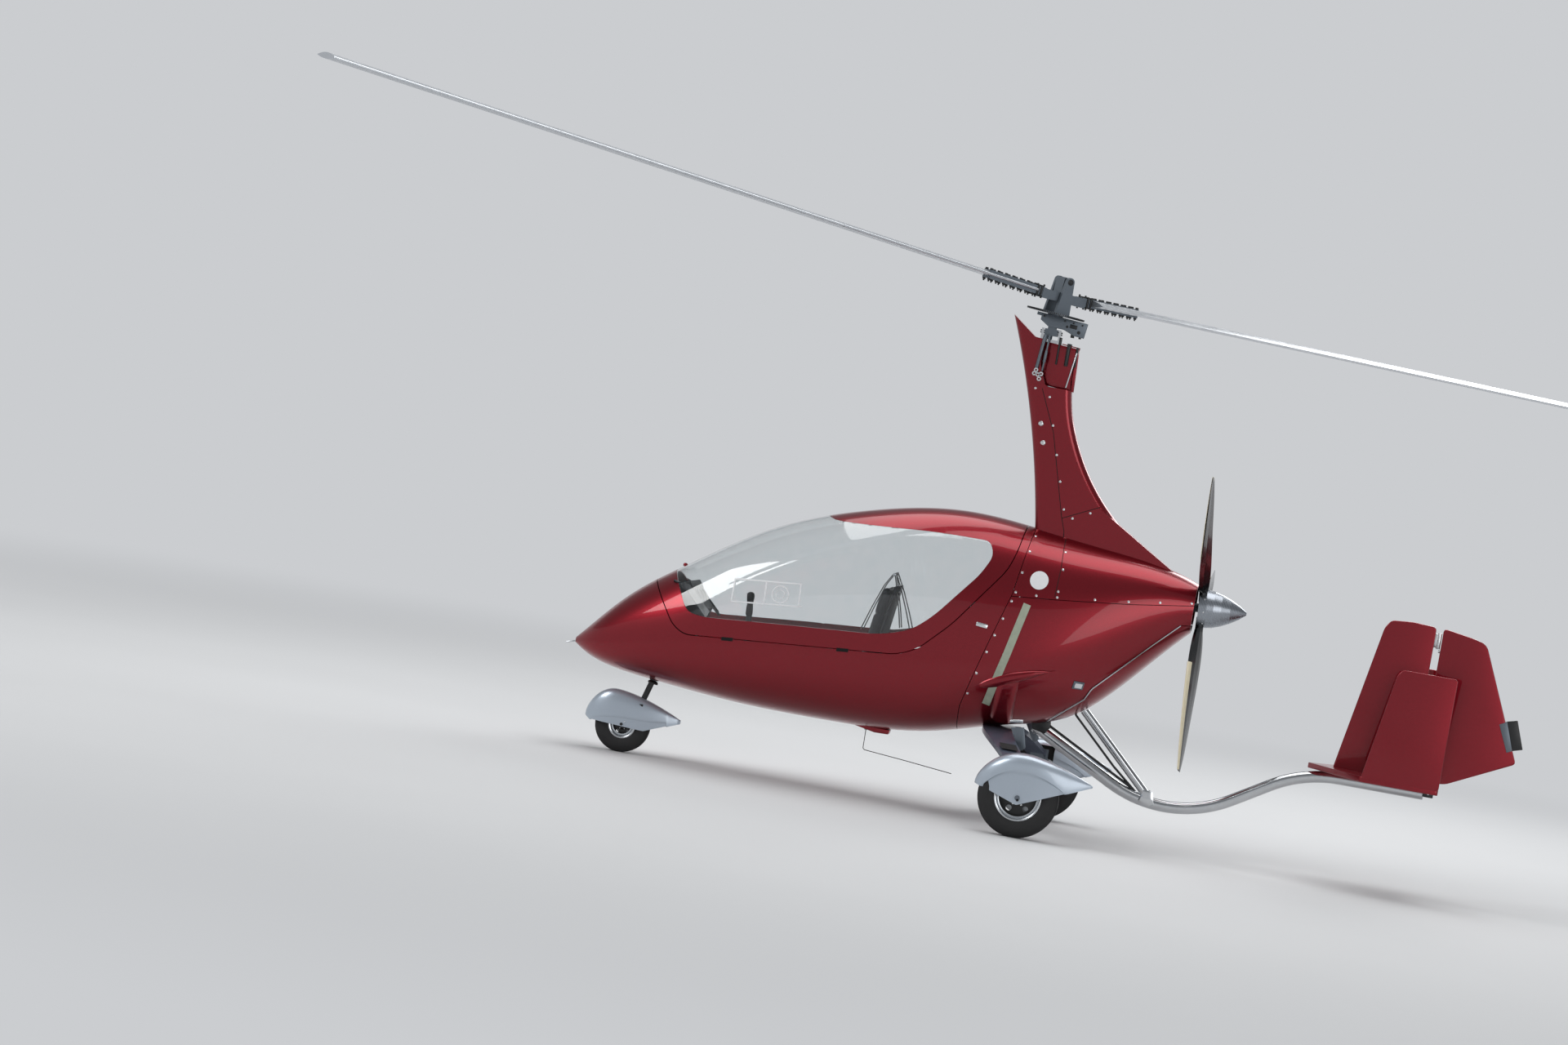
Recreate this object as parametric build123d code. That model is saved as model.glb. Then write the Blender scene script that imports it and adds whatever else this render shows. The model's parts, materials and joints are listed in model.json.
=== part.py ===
"""Enclosed two-seat gyrocopter, standing on its wheels.

Frame: +X aft, +Y starboard, +Z up, origin on the ground below the rotor head. Millimetres.
"""
import os
from math import copysign, cos, pi, radians, sin

from build123d import *

os.makedirs("parts", exist_ok=True)

# Rotor
ROTOR_RADIUS = 4200.0
BLADE_CHORD = 200.0
BLADE_UPPER = 14.0  # bulge above the chord line
BLADE_LOWER = 10.0
BLADE_ROOT_RADIUS = 165.0
PRECONE = 2.6  # degrees, built into the hub bar
ROTOR_HEADING = 35.5  # degrees, forward blade from straight ahead towards port
HEAD_TILT = 4.7  # degrees aft, as in level flight
PITCH_PIVOT_X = 5.0
PITCH_PIVOT_Z = 2530.0
ROLL_PIVOT_DROP = 45.0  # below the pitch pivot
HUB_BAR_RISE = 138.0  # above the pitch pivot
HUB_BAR_HALF = 130.0
HUB_BAR_WIDTH = 80.0
HUB_BAR_DEPTH = 48.0
CLAMP_REACH = 450.0
CLAMP_WIDTH = 76.0
TEETER_RISE = 222.0  # above the pitch pivot
TEETER_PIN_RADIUS = 9.0
TOWER_SPACING = 108.0  # centre to centre
TOWER_THICKNESS = 18.0
RING_GEAR_RADIUS = 145.0
RING_GEAR_RISE = 52.0
PIVOT_PIN_RADIUS = 9.0
ROTOR_SHAFT_RADIUS = 16.0
CHEEK, CHEEK_OFFSET = (12.0, 40.0, 56.0), 44.0  # on the mast's cap, fore and aft of the cross
MAST_CAP, MAST_CAP_Z = (100.0, 60.0, 14.0), 2442.0
CROSS_BLOCK = (66.0, 74.0, 34.0)
FORK_SIDE, FORK_OFFSET = (40.0, 12.0, 70.0), 31.0  # of the cross, beside the lug
LUG_RADIUS, LUG_WIDTH, LUG_RISE = 22.0, 46.0, 28.0
CASTING, CASTING_RISE = (200.0, 84.0, 16.0), 34.0
REAR_BOX, REAR_BOX_X = (50.0, 84.0, 62.0), 137.0
BEARING_CUP_RADIUS, BEARING_CUP_DEPTH = 40.0, 20.0
TOWER_FOOT_HALF, TOWER_TOP_HALF = 42.0, 23.0
RING_GEAR_THICKNESS = 10.0
TEETER_BLOCK_LENGTH, TEETER_BLOCK_OVER = 52.0, 20.0  # over the teeter pin

# Propeller
PROP_RADIUS = 865.0
PROP_X, PROP_Z = 997.0, 1250.0
PROP_AXIS_RISE = 2.9  # degrees, shaft points up towards the rear
PROP_HEADINGS = (19.3, 139.3, 259.3)  # degrees from straight down towards port
PROP_SHAFT_RADIUS = 22.0
ENGINE, ENGINE_X, ENGINE_Z = (400.0, 300.0, 250.0), 560.0, 1215.0
GEARBOX_RADIUS, GEARBOX_LENGTH, GEARBOX_AHEAD = 80.0, 190.0, 150.0
SHANK_RADIUS = 21.0  # of each blade, set into the spinner

# Wheels and gear
TYRE_RADIUS, TYRE_WIDTH, RIM_RADIUS = 200.0, 102.0, 113.0
AXLE_X = 305.0
TRACK = 1560.0
AXLE_RADIUS, AXLE_LENGTH = 12.5, 160.0
NOSE_AXLE_RADIUS, NOSE_AXLE_LENGTH = 10.0, 126.0
HUB_WALL, HUB_HALF, NOSE_HUB_HALF = 14.0, 42.0, 38.0
RIM_WALL, WHEEL_DISC = 7.0, 10.0
BRAKE_RADIUS, BRAKE_THICKNESS, BRAKE_OFFSET = 82.0, 5.0, 38.0
CARRIER, CARRIER_OFFSET, CARRIER_Z = (76.0, 9.0, 190.0), 66.0, 270.0  # inside the wheel
FORK_CROWN_RISE, FORK_ARM_INSIDE, FORK_ARM = 140.0, 48.0, 8.0  # above the axle, off the middle
NOSE_TYRE_RADIUS, NOSE_TYRE_WIDTH, NOSE_RIM_RADIUS = 140.0, 85.0, 66.0
NOSE_AXLE_X = -1797.0
NOSE_LEG_RADIUS = 15.0
COLLAR_WALL = 12.0  # of the bearing that carries the leg
NOSE_LEG_X, NOSE_LEG_Z = -1683.0, 395.0  # where the leg leaves the belly
NOSE_LEG_RAKE = 9.0  # degrees, top leans aft
RUNNING_FIT = 0.05

# Shell walls
HULL_WALL = 10.0
CANOPY_WALL = 14.0
GLASS = 5.0
SPAT_WALL = 5.0
FAIRING_WALL = 5.0
SEAM = 5.0  # gap round the canopy
FIREWALL = 8.0
FAIRING_HALF_WIDTH, FAIRING_ROUND = 52.0, 36.0
FLOOR_Z, FLOOR_THICKNESS = 430.0, 6.0

# Keel and tail
KEEL_RADIUS, KEEL_WALL = 30.0, 3.0
STRUT_RADIUS = 22.0
MAST_DEPTH, MAST_WIDTH, MAST_WALL = 60.0, 44.0, 4.0
RUDDER_HINGE_X = 2192.0
TAIL_HALF_SPAN = 420.0
STABILISER_Z, STABILISER_THICKNESS = 572.0, 28.0
FIN_THICKNESS = 36.0
OUTER_FIN_THICKNESS = 22.0
HINGE_HEIGHTS = (660.0, 980.0, 1300.0)
HINGE_PIN, HINGE_EYE, HINGE_EYE_HEIGHT = 5.0, 11.0, 8.0
RUDDER_NOSE = 15.0

# Cockpit
SEAT_FRONT_HALF, SEAT_REAR_HALF = 190.0, 180.0
STICK_RADIUS = 14.0
INSTRUMENT_RADIUS, INSTRUMENT_DEPTH, INSTRUMENT_PITCH = 39.7, 60.0, 105.0
PANEL_HALF = 190.0
PEDESTAL_X, PEDESTAL_LENGTH, PEDESTAL_WIDTH, PEDESTAL_TOP = -1560.0, 110.0, 140.0, 724.0

SIDE = Plane.XZ  # local x is +X, local y is +Z


def save(name, shape):
    """Write one node; several loose solids become one compound."""
    solids = list(shape.solids())
    whole = solids[0] if len(solids) == 1 else Compound(children=solids)
    export_step(whole, f"parts/{name}.step")


def outline(points):
    return make_face(Polyline(*points, close=True))


def side_plate(points, near, far):
    """Plate between two y values from a side outline of x, z points."""
    return Pos(0, far, 0) * extrude(SIDE * outline(points), far - near)


def side_cut(points):
    """Cutter right across the fuselage."""
    return side_plate(points, -700, 700)


FLATS = 24  # flats round a section
FULLNESS = 0.93  # power of the sine and cosine; 1 is an ellipse


def oval(half_width, low, wide, high, flats=FLATS):
    """Closed section of short flats, widest at one height."""
    points = []
    for step in range(flats):
        turn = 2 * pi * step / flats
        across, up = cos(turn), sin(turn)
        tip = high if up > 0 else low
        points.append((
            copysign(half_width * abs(across) ** FULLNESS, across),
            wide + (tip - wide) * abs(up) ** FULLNESS,
        ))
    return outline(points)


def bar(start, end, radius):
    """Round bar between two points."""
    start, end = Vector(*start), Vector(*end)
    along = end - start
    return extrude(Plane(origin=start, z_dir=along) * Circle(radius), along.length)


# Hull stations: x, half width, lowest z, z of the widest line, highest z
HULL_STATIONS = (
    (-2111, 14, 510, 523, 537),
    (-2048, 92, 470, 535, 610),
    (-1900, 190, 422, 560, 775),
    (-1650, 285, 390, 610, 975),
    (-1250, 358, 358, 680, 1240),
    (-750, 388, 352, 740, 1437),
    (-250, 388, 392, 790, 1524),
    (152, 358, 500, 870, 1497),
    (452, 300, 600, 1010, 1464),
    (752, 215, 885, 1180, 1426),
    (962, 150, 1116, 1240, 1366),
)


def hull_body(inset=0.0):
    """Outer form of the fuselage, or the same drawn in by a wall."""
    return loft([
        Plane.YZ.offset(x) * oval(half_width - inset, low + inset, wide, high - inset)
        for x, half_width, low, wide, high in HULL_STATIONS
        if half_width > inset + 4
    ])


# Side outlines as x, z
CANOPY_LINE = (
    (-1748, 905), (-1598, 700), (-1528, 662), (-448, 760), (-348, 805), (-198, 960),
    (22, 1270), (52, 1370), (67, 1500), (87, 1600), (-1948, 1600), (-1948, 1100),
)
WINDOW_LINE = (
    (-1678, 1010), (-1598, 880), (-1538, 780), (-1448, 768), (-1048, 805), (-548, 845),
    (-398, 895), (-298, 985), (-108, 1230), (-63, 1330), (-93, 1400), (-348, 1398),
    (-748, 1368), (-958, 1360), (-1008, 1600), (-1948, 1600), (-1948, 1100),
)
TUB_REAR = ((107, 1480), (67, 1160), (2, 930), (-98, 560), (-118, 300))
WEDGE_LINE = (
    (322, 400), (322, 545), (502, 700), (532, 760), (802, 1040), (912, 1150),
    (1052, 1165), (1052, 400),
)
UPPER_LINE = ((52, 1149), (282, 1170), (652, 1212), (1052, 1272), (1052, 1700), (52, 1700))

outer = hull_body()
hollow = hull_body(HULL_WALL)
canopy_hole = side_cut(CANOPY_LINE)
drawn_in = offset(outline(CANOPY_LINE), -SEAM, kind=Kind.INTERSECTION)
canopy_blank = Pos(0, 700, 0) * extrude(SIDE * drawn_in, 1400)
window = side_cut(WINDOW_LINE)

canopy_frame = ((outer - hull_body(CANOPY_WALL)) & canopy_blank) - window
save("canopy_frame", canopy_frame)
save("canopy_glass", ((outer - hull_body(GLASS)) & window) & canopy_blank)

# Gear bow: y, x centre, z centre, width, thickness
BOW_STATIONS = (
    (0, 95, 474, 150, 26),
    (260, 108, 468, 148, 26),
    (520, 178, 420, 124, 25),
    (712, 262, 335, 100, 24),
)


def bow(grow=0.0):
    """The sprung bow that carries both main wheels."""
    rows = [(-y, *rest) for y, *rest in reversed(BOW_STATIONS[1:])] + list(BOW_STATIONS)
    return loft([
        Pos(x, y, z) * (SIDE * Rectangle(width + 2 * grow, thickness + 2 * grow))
        for y, x, z, width, thickness in rows
    ])


gear_bow = bow()
save("gear_bow", gear_bow)

# Nose leg line
rake = radians(NOSE_LEG_RAKE)
leg_dir = Vector(sin(rake), 0, cos(rake))
leg_exit = Vector(NOSE_LEG_X, 0, NOSE_LEG_Z)


def leg_point(height):
    """Point of the steering axis at a height above the ground."""
    return leg_exit + leg_dir * ((height - NOSE_LEG_Z) / leg_dir.Z)


# Fuselage tub, firewall and cowl
skin = outer - hollow - canopy_hole
rear_zone = side_cut((*TUB_REAR, (1500, 300), (1500, 1900), (TUB_REAR[0][0], 1900)))
leg_hole = bar(leg_point(330), leg_point(560), NOSE_LEG_RADIUS + COLLAR_WALL)
save("fuselage_tub", skin - rear_zone - leg_hole)
firewall_zone = side_cut((
    *[(x - FIREWALL - 2, z) for x, z in TUB_REAR], *[(x - 2, z) for x, z in reversed(TUB_REAR)],
))
save("firewall", (hollow & firewall_zone) - canopy_hole)
cowl = (skin & rear_zone) - bow(2.0)
wedge_part = side_cut(WEDGE_LINE)
upper_part = side_cut(UPPER_LINE)

# Mast: leans forward from the keel to the rotor head
MAST_FOOT = Vector(302, 0, 478)
MAST_HEAD = Vector(12, 0, 2440)
mast_plane = Plane(origin=MAST_FOOT, x_dir=(0, 1, 0), z_dir=MAST_HEAD - MAST_FOOT)
mast_length = (MAST_HEAD - MAST_FOOT).length
mast_solid = extrude(mast_plane * Rectangle(MAST_WIDTH, MAST_DEPTH), mast_length)
mast_bore = extrude(
    mast_plane * Rectangle(MAST_WIDTH - 2 * MAST_WALL, MAST_DEPTH - 2 * MAST_WALL), mast_length
)
upper_cowl = (cowl & upper_part) - wedge_part - mast_solid
save("cowl_upper", upper_cowl)
save("exhaust_wedge", cowl & wedge_part)
lower_cowl = (cowl - upper_part) - wedge_part - mast_solid
for name, sign in (("cowl_port", -1), ("cowl_starboard", 1)):
    half = Pos(400, sign * 350, 900) * Box(1600, 700, 1600)
    save(name, lower_cowl & half)

# Mast fairing: side outline of arcs and lines, rounded along its front and rear edges
FAIRING_FRONT = ((116, 1380), (5, 1940), (-196, 2545))  # an arc
FAIRING_REAR = ((162, 2432), (160, 2210), (217, 2000), (332, 1790), (512, 1590))  # two arcs
FAIRING_TOP = ((-196, 2545), (-108, 2480), (-68, 2450), (162, 2432))
FAIRING_FOOT = (850, 1390)
FAIRING_SEAM = ((-30, 2600), (-30, 2300), (12, 2200), (107, 1990), (152, 1830), (222, 1580),
                (247, 1510), (260, 1300), (-400, 1300), (-400, 2600))


def fairing_body(inset):
    """The fairing's outer form, or its hollow."""
    face = make_face(Curve() + [
        ThreePointArc(*FAIRING_FRONT), Polyline(*FAIRING_TOP),
        ThreePointArc(*FAIRING_REAR[:3]), ThreePointArc(*FAIRING_REAR[2:]),
        Line(FAIRING_REAR[-1], FAIRING_FOOT), Line(FAIRING_FOOT, FAIRING_FRONT[0]),
    ])
    half = FAIRING_HALF_WIDTH - inset
    if inset:
        face = offset(face, -inset, kind=Kind.INTERSECTION)
    body = Pos(0, half, 0) * extrude(SIDE * face, 2 * half)
    sides = body.edges().filter_by(GeomType.CIRCLE)
    if inset:
        return chamfer(sides, FAIRING_ROUND * 0.6)
    return fillet(sides, FAIRING_ROUND)


fairing = fairing_body(0) - fairing_body(FAIRING_WALL) - outer
fairing -= extrude(mast_plane * Rectangle(MAST_WIDTH + 6, MAST_DEPTH + 6), mast_length)
fairing -= Pos(PITCH_PIVOT_X, 0, 2480) * Box(130, 72, 130)
front_zone = side_cut(FAIRING_SEAM)
for name, half in (("front", fairing & front_zone), ("rear", fairing - front_zone)):
    save(f"mast_fairing_{name}", half.solids().sort_by(SortBy.VOLUME)[-1])

# Rotor head, drawn upright about the pitch pivot and then tilted
pitch_pivot = Vector(PITCH_PIVOT_X, 0, PITCH_PIVOT_Z)
head_place = Pos(pitch_pivot) * Rot(0, HEAD_TILT, 0)
spin_place = head_place * Rot(0, 0, 180 + ROTOR_HEADING)
roll_pivot_z = PITCH_PIVOT_Z - ROLL_PIVOT_DROP

cheeks = [
    Pos(PITCH_PIVOT_X + side * CHEEK_OFFSET, 0, roll_pivot_z - 10) * Box(*CHEEK) for side in (1, -1)
]
mast_cap = Pos(PITCH_PIVOT_X, 0, MAST_CAP_Z) * Box(*MAST_CAP)
pin_reach = CHEEK_OFFSET + CHEEK[0]
roll_pin = bar((PITCH_PIVOT_X - pin_reach, 0, roll_pivot_z), (PITCH_PIVOT_X + pin_reach, 0, roll_pivot_z),
               PIVOT_PIN_RADIUS)
save("rotor_mast", (mast_solid - mast_bore) + mast_cap + cheeks[0] + cheeks[1] + roll_pin)

cross_block = Pos(PITCH_PIVOT_X, 0, roll_pivot_z) * Box(*CROSS_BLOCK)
fork_sides = [
    Pos(PITCH_PIVOT_X, side * FORK_OFFSET, PITCH_PIVOT_Z - 17) * Box(*FORK_SIDE) for side in (1, -1)
]
pitch_pin = bar((PITCH_PIVOT_X, -44, PITCH_PIVOT_Z), (PITCH_PIVOT_X, 44, PITCH_PIVOT_Z),
                PIVOT_PIN_RADIUS)
roll_bore = bar((PITCH_PIVOT_X - 60, 0, roll_pivot_z), (PITCH_PIVOT_X + 60, 0, roll_pivot_z),
                PIVOT_PIN_RADIUS + RUNNING_FIT)
save("gimbal_cross", (cross_block + fork_sides[0] + fork_sides[1] + pitch_pin) - roll_bore)

lug = Rot(90, 0, 0) * Cylinder(LUG_RADIUS, LUG_WIDTH)
lug += Pos(0, 0, LUG_RISE / 2) * Box(40, LUG_WIDTH, LUG_RISE)
lug -= Rot(90, 0, 0) * Cylinder(PIVOT_PIN_RADIUS + RUNNING_FIT, LUG_WIDTH + 14)
casting = Pos(12, 0, CASTING_RISE) * Box(*CASTING)
rear_box = Pos(REAR_BOX_X, 0, 10) * Box(*REAR_BOX)
bearing_cup = Pos(0, 0, 36) * Cylinder(BEARING_CUP_RADIUS, BEARING_CUP_DEPTH)
rotor_shaft_bore = Pos(0, 0, 40) * Cylinder(ROTOR_SHAFT_RADIUS + RUNNING_FIT, 30)
head = (lug + casting + rear_box + bearing_cup) - rotor_shaft_bore
save("rotor_head_block", head_place * head)

ring_gear = Pos(0, 0, RING_GEAR_RISE) * Cylinder(RING_GEAR_RADIUS, RING_GEAR_THICKNESS)
shaft = Pos(0, 0, 40) * Cylinder(ROTOR_SHAFT_RADIUS, 26)
tower_foot_z = RING_GEAR_RISE + RING_GEAR_THICKNESS / 2
tower_outline = outline((
    (-TOWER_FOOT_HALF, tower_foot_z), (TOWER_FOOT_HALF, tower_foot_z),
    (TOWER_TOP_HALF, TEETER_RISE), (-TOWER_TOP_HALF, TEETER_RISE),
))
hub = ring_gear + shaft
for side in (1, -1):
    tower = extrude(SIDE * tower_outline, TOWER_THICKNESS / 2, both=True)
    tower += Pos(0, 0, TEETER_RISE) * Rot(90, 0, 0) * Cylinder(TOWER_TOP_HALF, TOWER_THICKNESS)
    hub += Pos(0, side * TOWER_SPACING / 2, 0) * tower
hub += Pos(0, 0, TEETER_RISE) * Rot(90, 0, 0) * Cylinder(TEETER_PIN_RADIUS, TOWER_SPACING)
save("teeter_towers", spin_place * hub)


def blade_section(chord, upper, lower):
    """Aerofoil across the span: leading edge at +Y, quarter chord on the axis."""
    lead, trail = chord * 0.25, -chord * 0.75
    nose_up, nose_down = (lead - 5, upper * 0.5), (lead - 5, -lower * 0.55)
    edges = [
        ThreePointArc(nose_down, (lead, 0), nose_up),
        ThreePointArc(nose_up, (lead * 0.25, upper), (trail, 1.0)),
        Line((trail, 1.0), (trail, -1.0)),
        ThreePointArc((trail, -1.0), (lead * 0.25, -lower), nose_down),
    ]
    return make_face(Curve() + edges)


blades = []
for turn in (0, 180):
    section = Plane.YZ * blade_section(BLADE_CHORD, BLADE_UPPER, BLADE_LOWER)
    blade = Pos(BLADE_ROOT_RADIUS, 0, 0) * extrude(section, ROTOR_RADIUS - BLADE_ROOT_RADIUS)
    blades.append(Rot(0, 0, turn) * Rot(0, -PRECONE, 0) * blade)
clamp_bar = Box(2 * HUB_BAR_HALF, HUB_BAR_WIDTH, HUB_BAR_DEPTH)
clamps = []
for turn in (0, 180):
    clamp = Pos((CLAMP_REACH + HUB_BAR_HALF) / 2 - 10, 0, 0) * Box(
        CLAMP_REACH - HUB_BAR_HALF + 20, CLAMP_WIDTH, HUB_BAR_DEPTH - 4)
    clamps.append(Rot(0, 0, turn) * Rot(0, -PRECONE, 0) * clamp)
clamp_bar = clamp_bar + clamps[0] + clamps[1] - blades[0] - blades[1]
teeter_height = TEETER_RISE - HUB_BAR_RISE + TEETER_BLOCK_OVER
teeter_block = Pos(0, 0, teeter_height / 2) * Box(
    TEETER_BLOCK_LENGTH, TOWER_SPACING - TOWER_THICKNESS - 10, teeter_height)
teeter_bore = Pos(0, 0, TEETER_RISE - HUB_BAR_RISE) * Rot(90, 0, 0) * Cylinder(
    TEETER_PIN_RADIUS + RUNNING_FIT, 2 * TOWER_SPACING)
bar_place = spin_place * Pos(0, 0, HUB_BAR_RISE)
save("hub_bar", bar_place * (clamp_bar + teeter_block - teeter_bore))
save("rotor_blades", bar_place * Compound(children=[blade.solids()[0] for blade in blades]))

# Engine and propeller
prop_place = Pos(PROP_X, 0, PROP_Z) * Rot(0, 90 - PROP_AXIS_RISE, 0)  # local z runs aft
engine = Pos(ENGINE_X, 0, ENGINE_Z) * Box(*ENGINE)
gearbox = prop_place * Pos(0, 0, -GEARBOX_AHEAD) * Cylinder(GEARBOX_RADIUS, GEARBOX_LENGTH)
prop_shaft = prop_place * Pos(0, 0, -25) * Cylinder(PROP_SHAFT_RADIUS, 90)
save("engine", engine + gearbox + prop_shaft)

SPINNER_SHAPE = ((0, -15), (97, -15), (97, 25), (92, 60), (80, 100), (60, 145), (34, 190), (8, 225),
                 (0, 225))  # radius, distance along the shaft
spinner = revolve(Plane.XZ * outline(SPINNER_SHAPE), Axis.Z)
spinner -= Pos(0, 0, -25) * Cylinder(PROP_SHAFT_RADIUS + RUNNING_FIT, 91)

# Blade sections: radius, chord, thickness, pitch in degrees
PROP_SECTIONS = ((112, 46, 40, 60), (220, 88, 28, 42), (430, 122, 18, 26), (680, 104, 12, 19),
                 (PROP_RADIUS - 5, 46, 7, 15))


def prop_section(chord, thickness):
    """Section with its leading edge at -X."""
    return outline([
        (-0.50 * chord, 0), (-0.40 * chord, 0.40 * thickness), (-0.10 * chord, 0.60 * thickness),
        (0.25 * chord, 0.38 * thickness), (0.50 * chord, 0), (0.05 * chord, -0.36 * thickness),
        (-0.38 * chord, -0.36 * thickness),
    ])


prop_blades = []
for heading in PROP_HEADINGS:
    sections = [
        Plane(origin=(radius, 0, 0), x_dir=(0, 1, 0), z_dir=(1, 0, 0)) * Rot(0, 0, pitch)
        * prop_section(chord, thickness)
        for radius, chord, thickness, pitch in PROP_SECTIONS
    ]
    shank = bar((50, 0, 0), (PROP_SECTIONS[0][0] + 12, 0, 0), SHANK_RADIUS)
    # local x of the propeller frame points down, local y to starboard
    turn = Rot(0, 0, -heading)
    prop_blades.append(turn * (loft(sections) + shank))
    spinner -= turn * bar((50, 0, 0), (200, 0, 0), SHANK_RADIUS)
blade_set = Compound(children=[blade.solids()[0] for blade in prop_blades])
save("propeller_blades", prop_place * blade_set)
save("spinner", prop_place * spinner)


# Wheels
def wheel(radius, width, rim_radius, bore, hub_half):
    """Tyre and rim about the Y axis, centred on the origin."""
    half = width / 2
    wall = radius - rim_radius
    tyre_profile = outline([
        (rim_radius, -half * 0.72), (rim_radius + wall * 0.35, -half), (radius - wall * 0.35, -half),
        (radius - wall * 0.10, -half * 0.75), (radius, -half * 0.45), (radius, half * 0.45),
        (radius - wall * 0.10, half * 0.75), (radius - wall * 0.35, half),
        (rim_radius + wall * 0.35, half), (rim_radius, half * 0.72),
    ])
    tyre = revolve(Plane.XY * tyre_profile, Axis.Y)
    rim_half = half * 0.72
    barrel = Cylinder(rim_radius, 2 * rim_half) - Cylinder(rim_radius - RIM_WALL, 2 * rim_half)
    disc = Cylinder(rim_radius - RIM_WALL / 2, WHEEL_DISC)
    hub_part = Cylinder(bore + HUB_WALL, 2 * hub_half)
    rim = Rot(90, 0, 0) * (barrel + disc + hub_part - Cylinder(bore, 4 * half))
    return tyre, rim


tyre, rim = wheel(TYRE_RADIUS, TYRE_WIDTH, RIM_RADIUS, AXLE_RADIUS + RUNNING_FIT, HUB_HALF)
brake_disc = Cylinder(BRAKE_RADIUS, BRAKE_THICKNESS) - Cylinder(AXLE_RADIUS + 5, BRAKE_THICKNESS)
for name, sign in (("port", -1), ("starboard", 1)):
    place = Pos(AXLE_X, sign * TRACK / 2, TYRE_RADIUS)
    brake = Pos(0, -sign * BRAKE_OFFSET, 0) * Rot(90, 0, 0) * brake_disc
    save(f"tyre_{name}", place * tyre)
    save(f"rim_{name}", place * (rim + brake))
nose_tyre, nose_rim = wheel(
    NOSE_TYRE_RADIUS, NOSE_TYRE_WIDTH, NOSE_RIM_RADIUS, NOSE_AXLE_RADIUS + RUNNING_FIT, NOSE_HUB_HALF)
nose_place = Pos(NOSE_AXLE_X, 0, NOSE_TYRE_RADIUS)
save("tyre_nose", nose_place * nose_tyre)
save("rim_nose", nose_place * nose_rim)

# Spats, from the wheel centre: side arcs, plan arcs with a parallel stretch, lower edge
MAIN_SPAT_SIDE = ((-226, 20), (-172, 172), (-10, 225), (171, 183), (352, 116))
MAIN_SPAT_PLAN = ((-226, 30), (-140, 68), (-39, 82), (-20, 82), (160, 65), (352, 8))
MAIN_SPAT_EDGE = ((-260, 49), (0, -36), (400, 133), (400, -400), (-260, -400))
NOSE_SPAT_SIDE = ((-200, 20), (-171, 143), (-66, 177), (115, 135), (290, 70))
NOSE_SPAT_PLAN = ((-200, 16), (-150, 52), (-85, 66), (110, 66), (200, 52), (290, 8))
NOSE_SPAT_EDGE = ((-230, 40), (-169, 2), (112, -13), (330, 74), (330, -400), (-230, -400))


def spat(side, plan, edge, wall):
    """Teardrop cover of a wheel, open below."""
    half = max(y for x, y in plan)
    top = max(z for x, z in side) + 3
    upper = [
        ThreePointArc(*plan[:3]), Line(plan[2], plan[3]), ThreePointArc(*plan[3:]),
        Line(plan[5], (plan[5][0], 0)), Line((plan[5][0], 0), (plan[0][0], 0)),
        Line((plan[0][0], 0), plan[0]),
    ]
    plan_face = make_face(Curve() + upper)
    plan_face += mirror(plan_face, Plane.XZ)
    side_face = make_face(Curve() + [
        ThreePointArc(*side[:3]), ThreePointArc(*side[2:]), Line(side[4], (side[4][0], -300)),
        Line((side[4][0], -300), (side[0][0], -300)), Line((side[0][0], -300), side[0]),
    ])
    front_face = Pos(0, top / 2 - 150) * Rectangle(2 * half, top + 300)
    front_face = fillet(front_face.vertices().group_by(Axis.Y)[-1], half * 0.6)

    def body(inset):
        faces = [offset(face, -inset) if inset else face for face in (side_face, plan_face, front_face)]
        lengthwise = Pos(0, 200, 0) * extrude(SIDE * faces[0], 400)
        upright = Pos(0, 0, -300) * extrude(faces[1], 700)
        across = extrude(Plane.YZ.offset(-400) * faces[2], 900)
        return lengthwise & upright & across

    return body(0.0) - body(wall) - side_cut(edge)


main_spat = spat(MAIN_SPAT_SIDE, MAIN_SPAT_PLAN, MAIN_SPAT_EDGE, SPAT_WALL)
spats, axles = [], []
bow_clear = bow(3.0)
for sign in (-1, 1):
    place = Pos(AXLE_X, sign * TRACK / 2, TYRE_RADIUS)
    carrier = Pos(AXLE_X - 22, sign * (TRACK / 2 - CARRIER_OFFSET), CARRIER_Z) * Box(*CARRIER)
    foot = Pos(AXLE_X - 40, sign * (TRACK / 2 - CARRIER_OFFSET - 16), CARRIER_Z + 68) * Box(70, 36, 50)
    pin = place * Rot(90, 0, 0) * Cylinder(AXLE_RADIUS, AXLE_LENGTH)
    axle = ((carrier + foot + pin) - gear_bow).solids().sort_by(SortBy.VOLUME)[-1]
    axles.append(axle)
    slot = Pos(AXLE_X - 42, sign * (TRACK / 2 - 90), 320) * Box(120, 50, 130)
    spats.append((place * main_spat - bow_clear - slot - axle).solids().sort_by(SortBy.VOLUME)[-1])
save("main_spats", Compound(children=spats))
save("main_axles", Compound(children=axles))

# Nose fork
crown_z = NOSE_TYRE_RADIUS + FORK_CROWN_RISE
crown = leg_point(crown_z)
leg = bar(crown, leg_point(560), NOSE_LEG_RADIUS)
arm_outside = FORK_ARM_INSIDE + FORK_ARM
crossbar = Pos(crown.X, 0, crown_z) * Box(36, 2 * arm_outside, 18)
fork = leg + crossbar
for sign in (-1, 1):
    near, far = sorted((sign * FORK_ARM_INSIDE, sign * arm_outside))
    fork += side_plate((
        (crown.X - 16, crown_z), (crown.X + 16, crown_z), (NOSE_AXLE_X + 14, NOSE_TYRE_RADIUS - 12),
        (NOSE_AXLE_X - 14, NOSE_TYRE_RADIUS - 12), (NOSE_AXLE_X - 16, NOSE_TYRE_RADIUS + 14),
    ), near, far)
fork += nose_place * Rot(90, 0, 0) * Cylinder(NOSE_AXLE_RADIUS, NOSE_AXLE_LENGTH)
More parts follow.
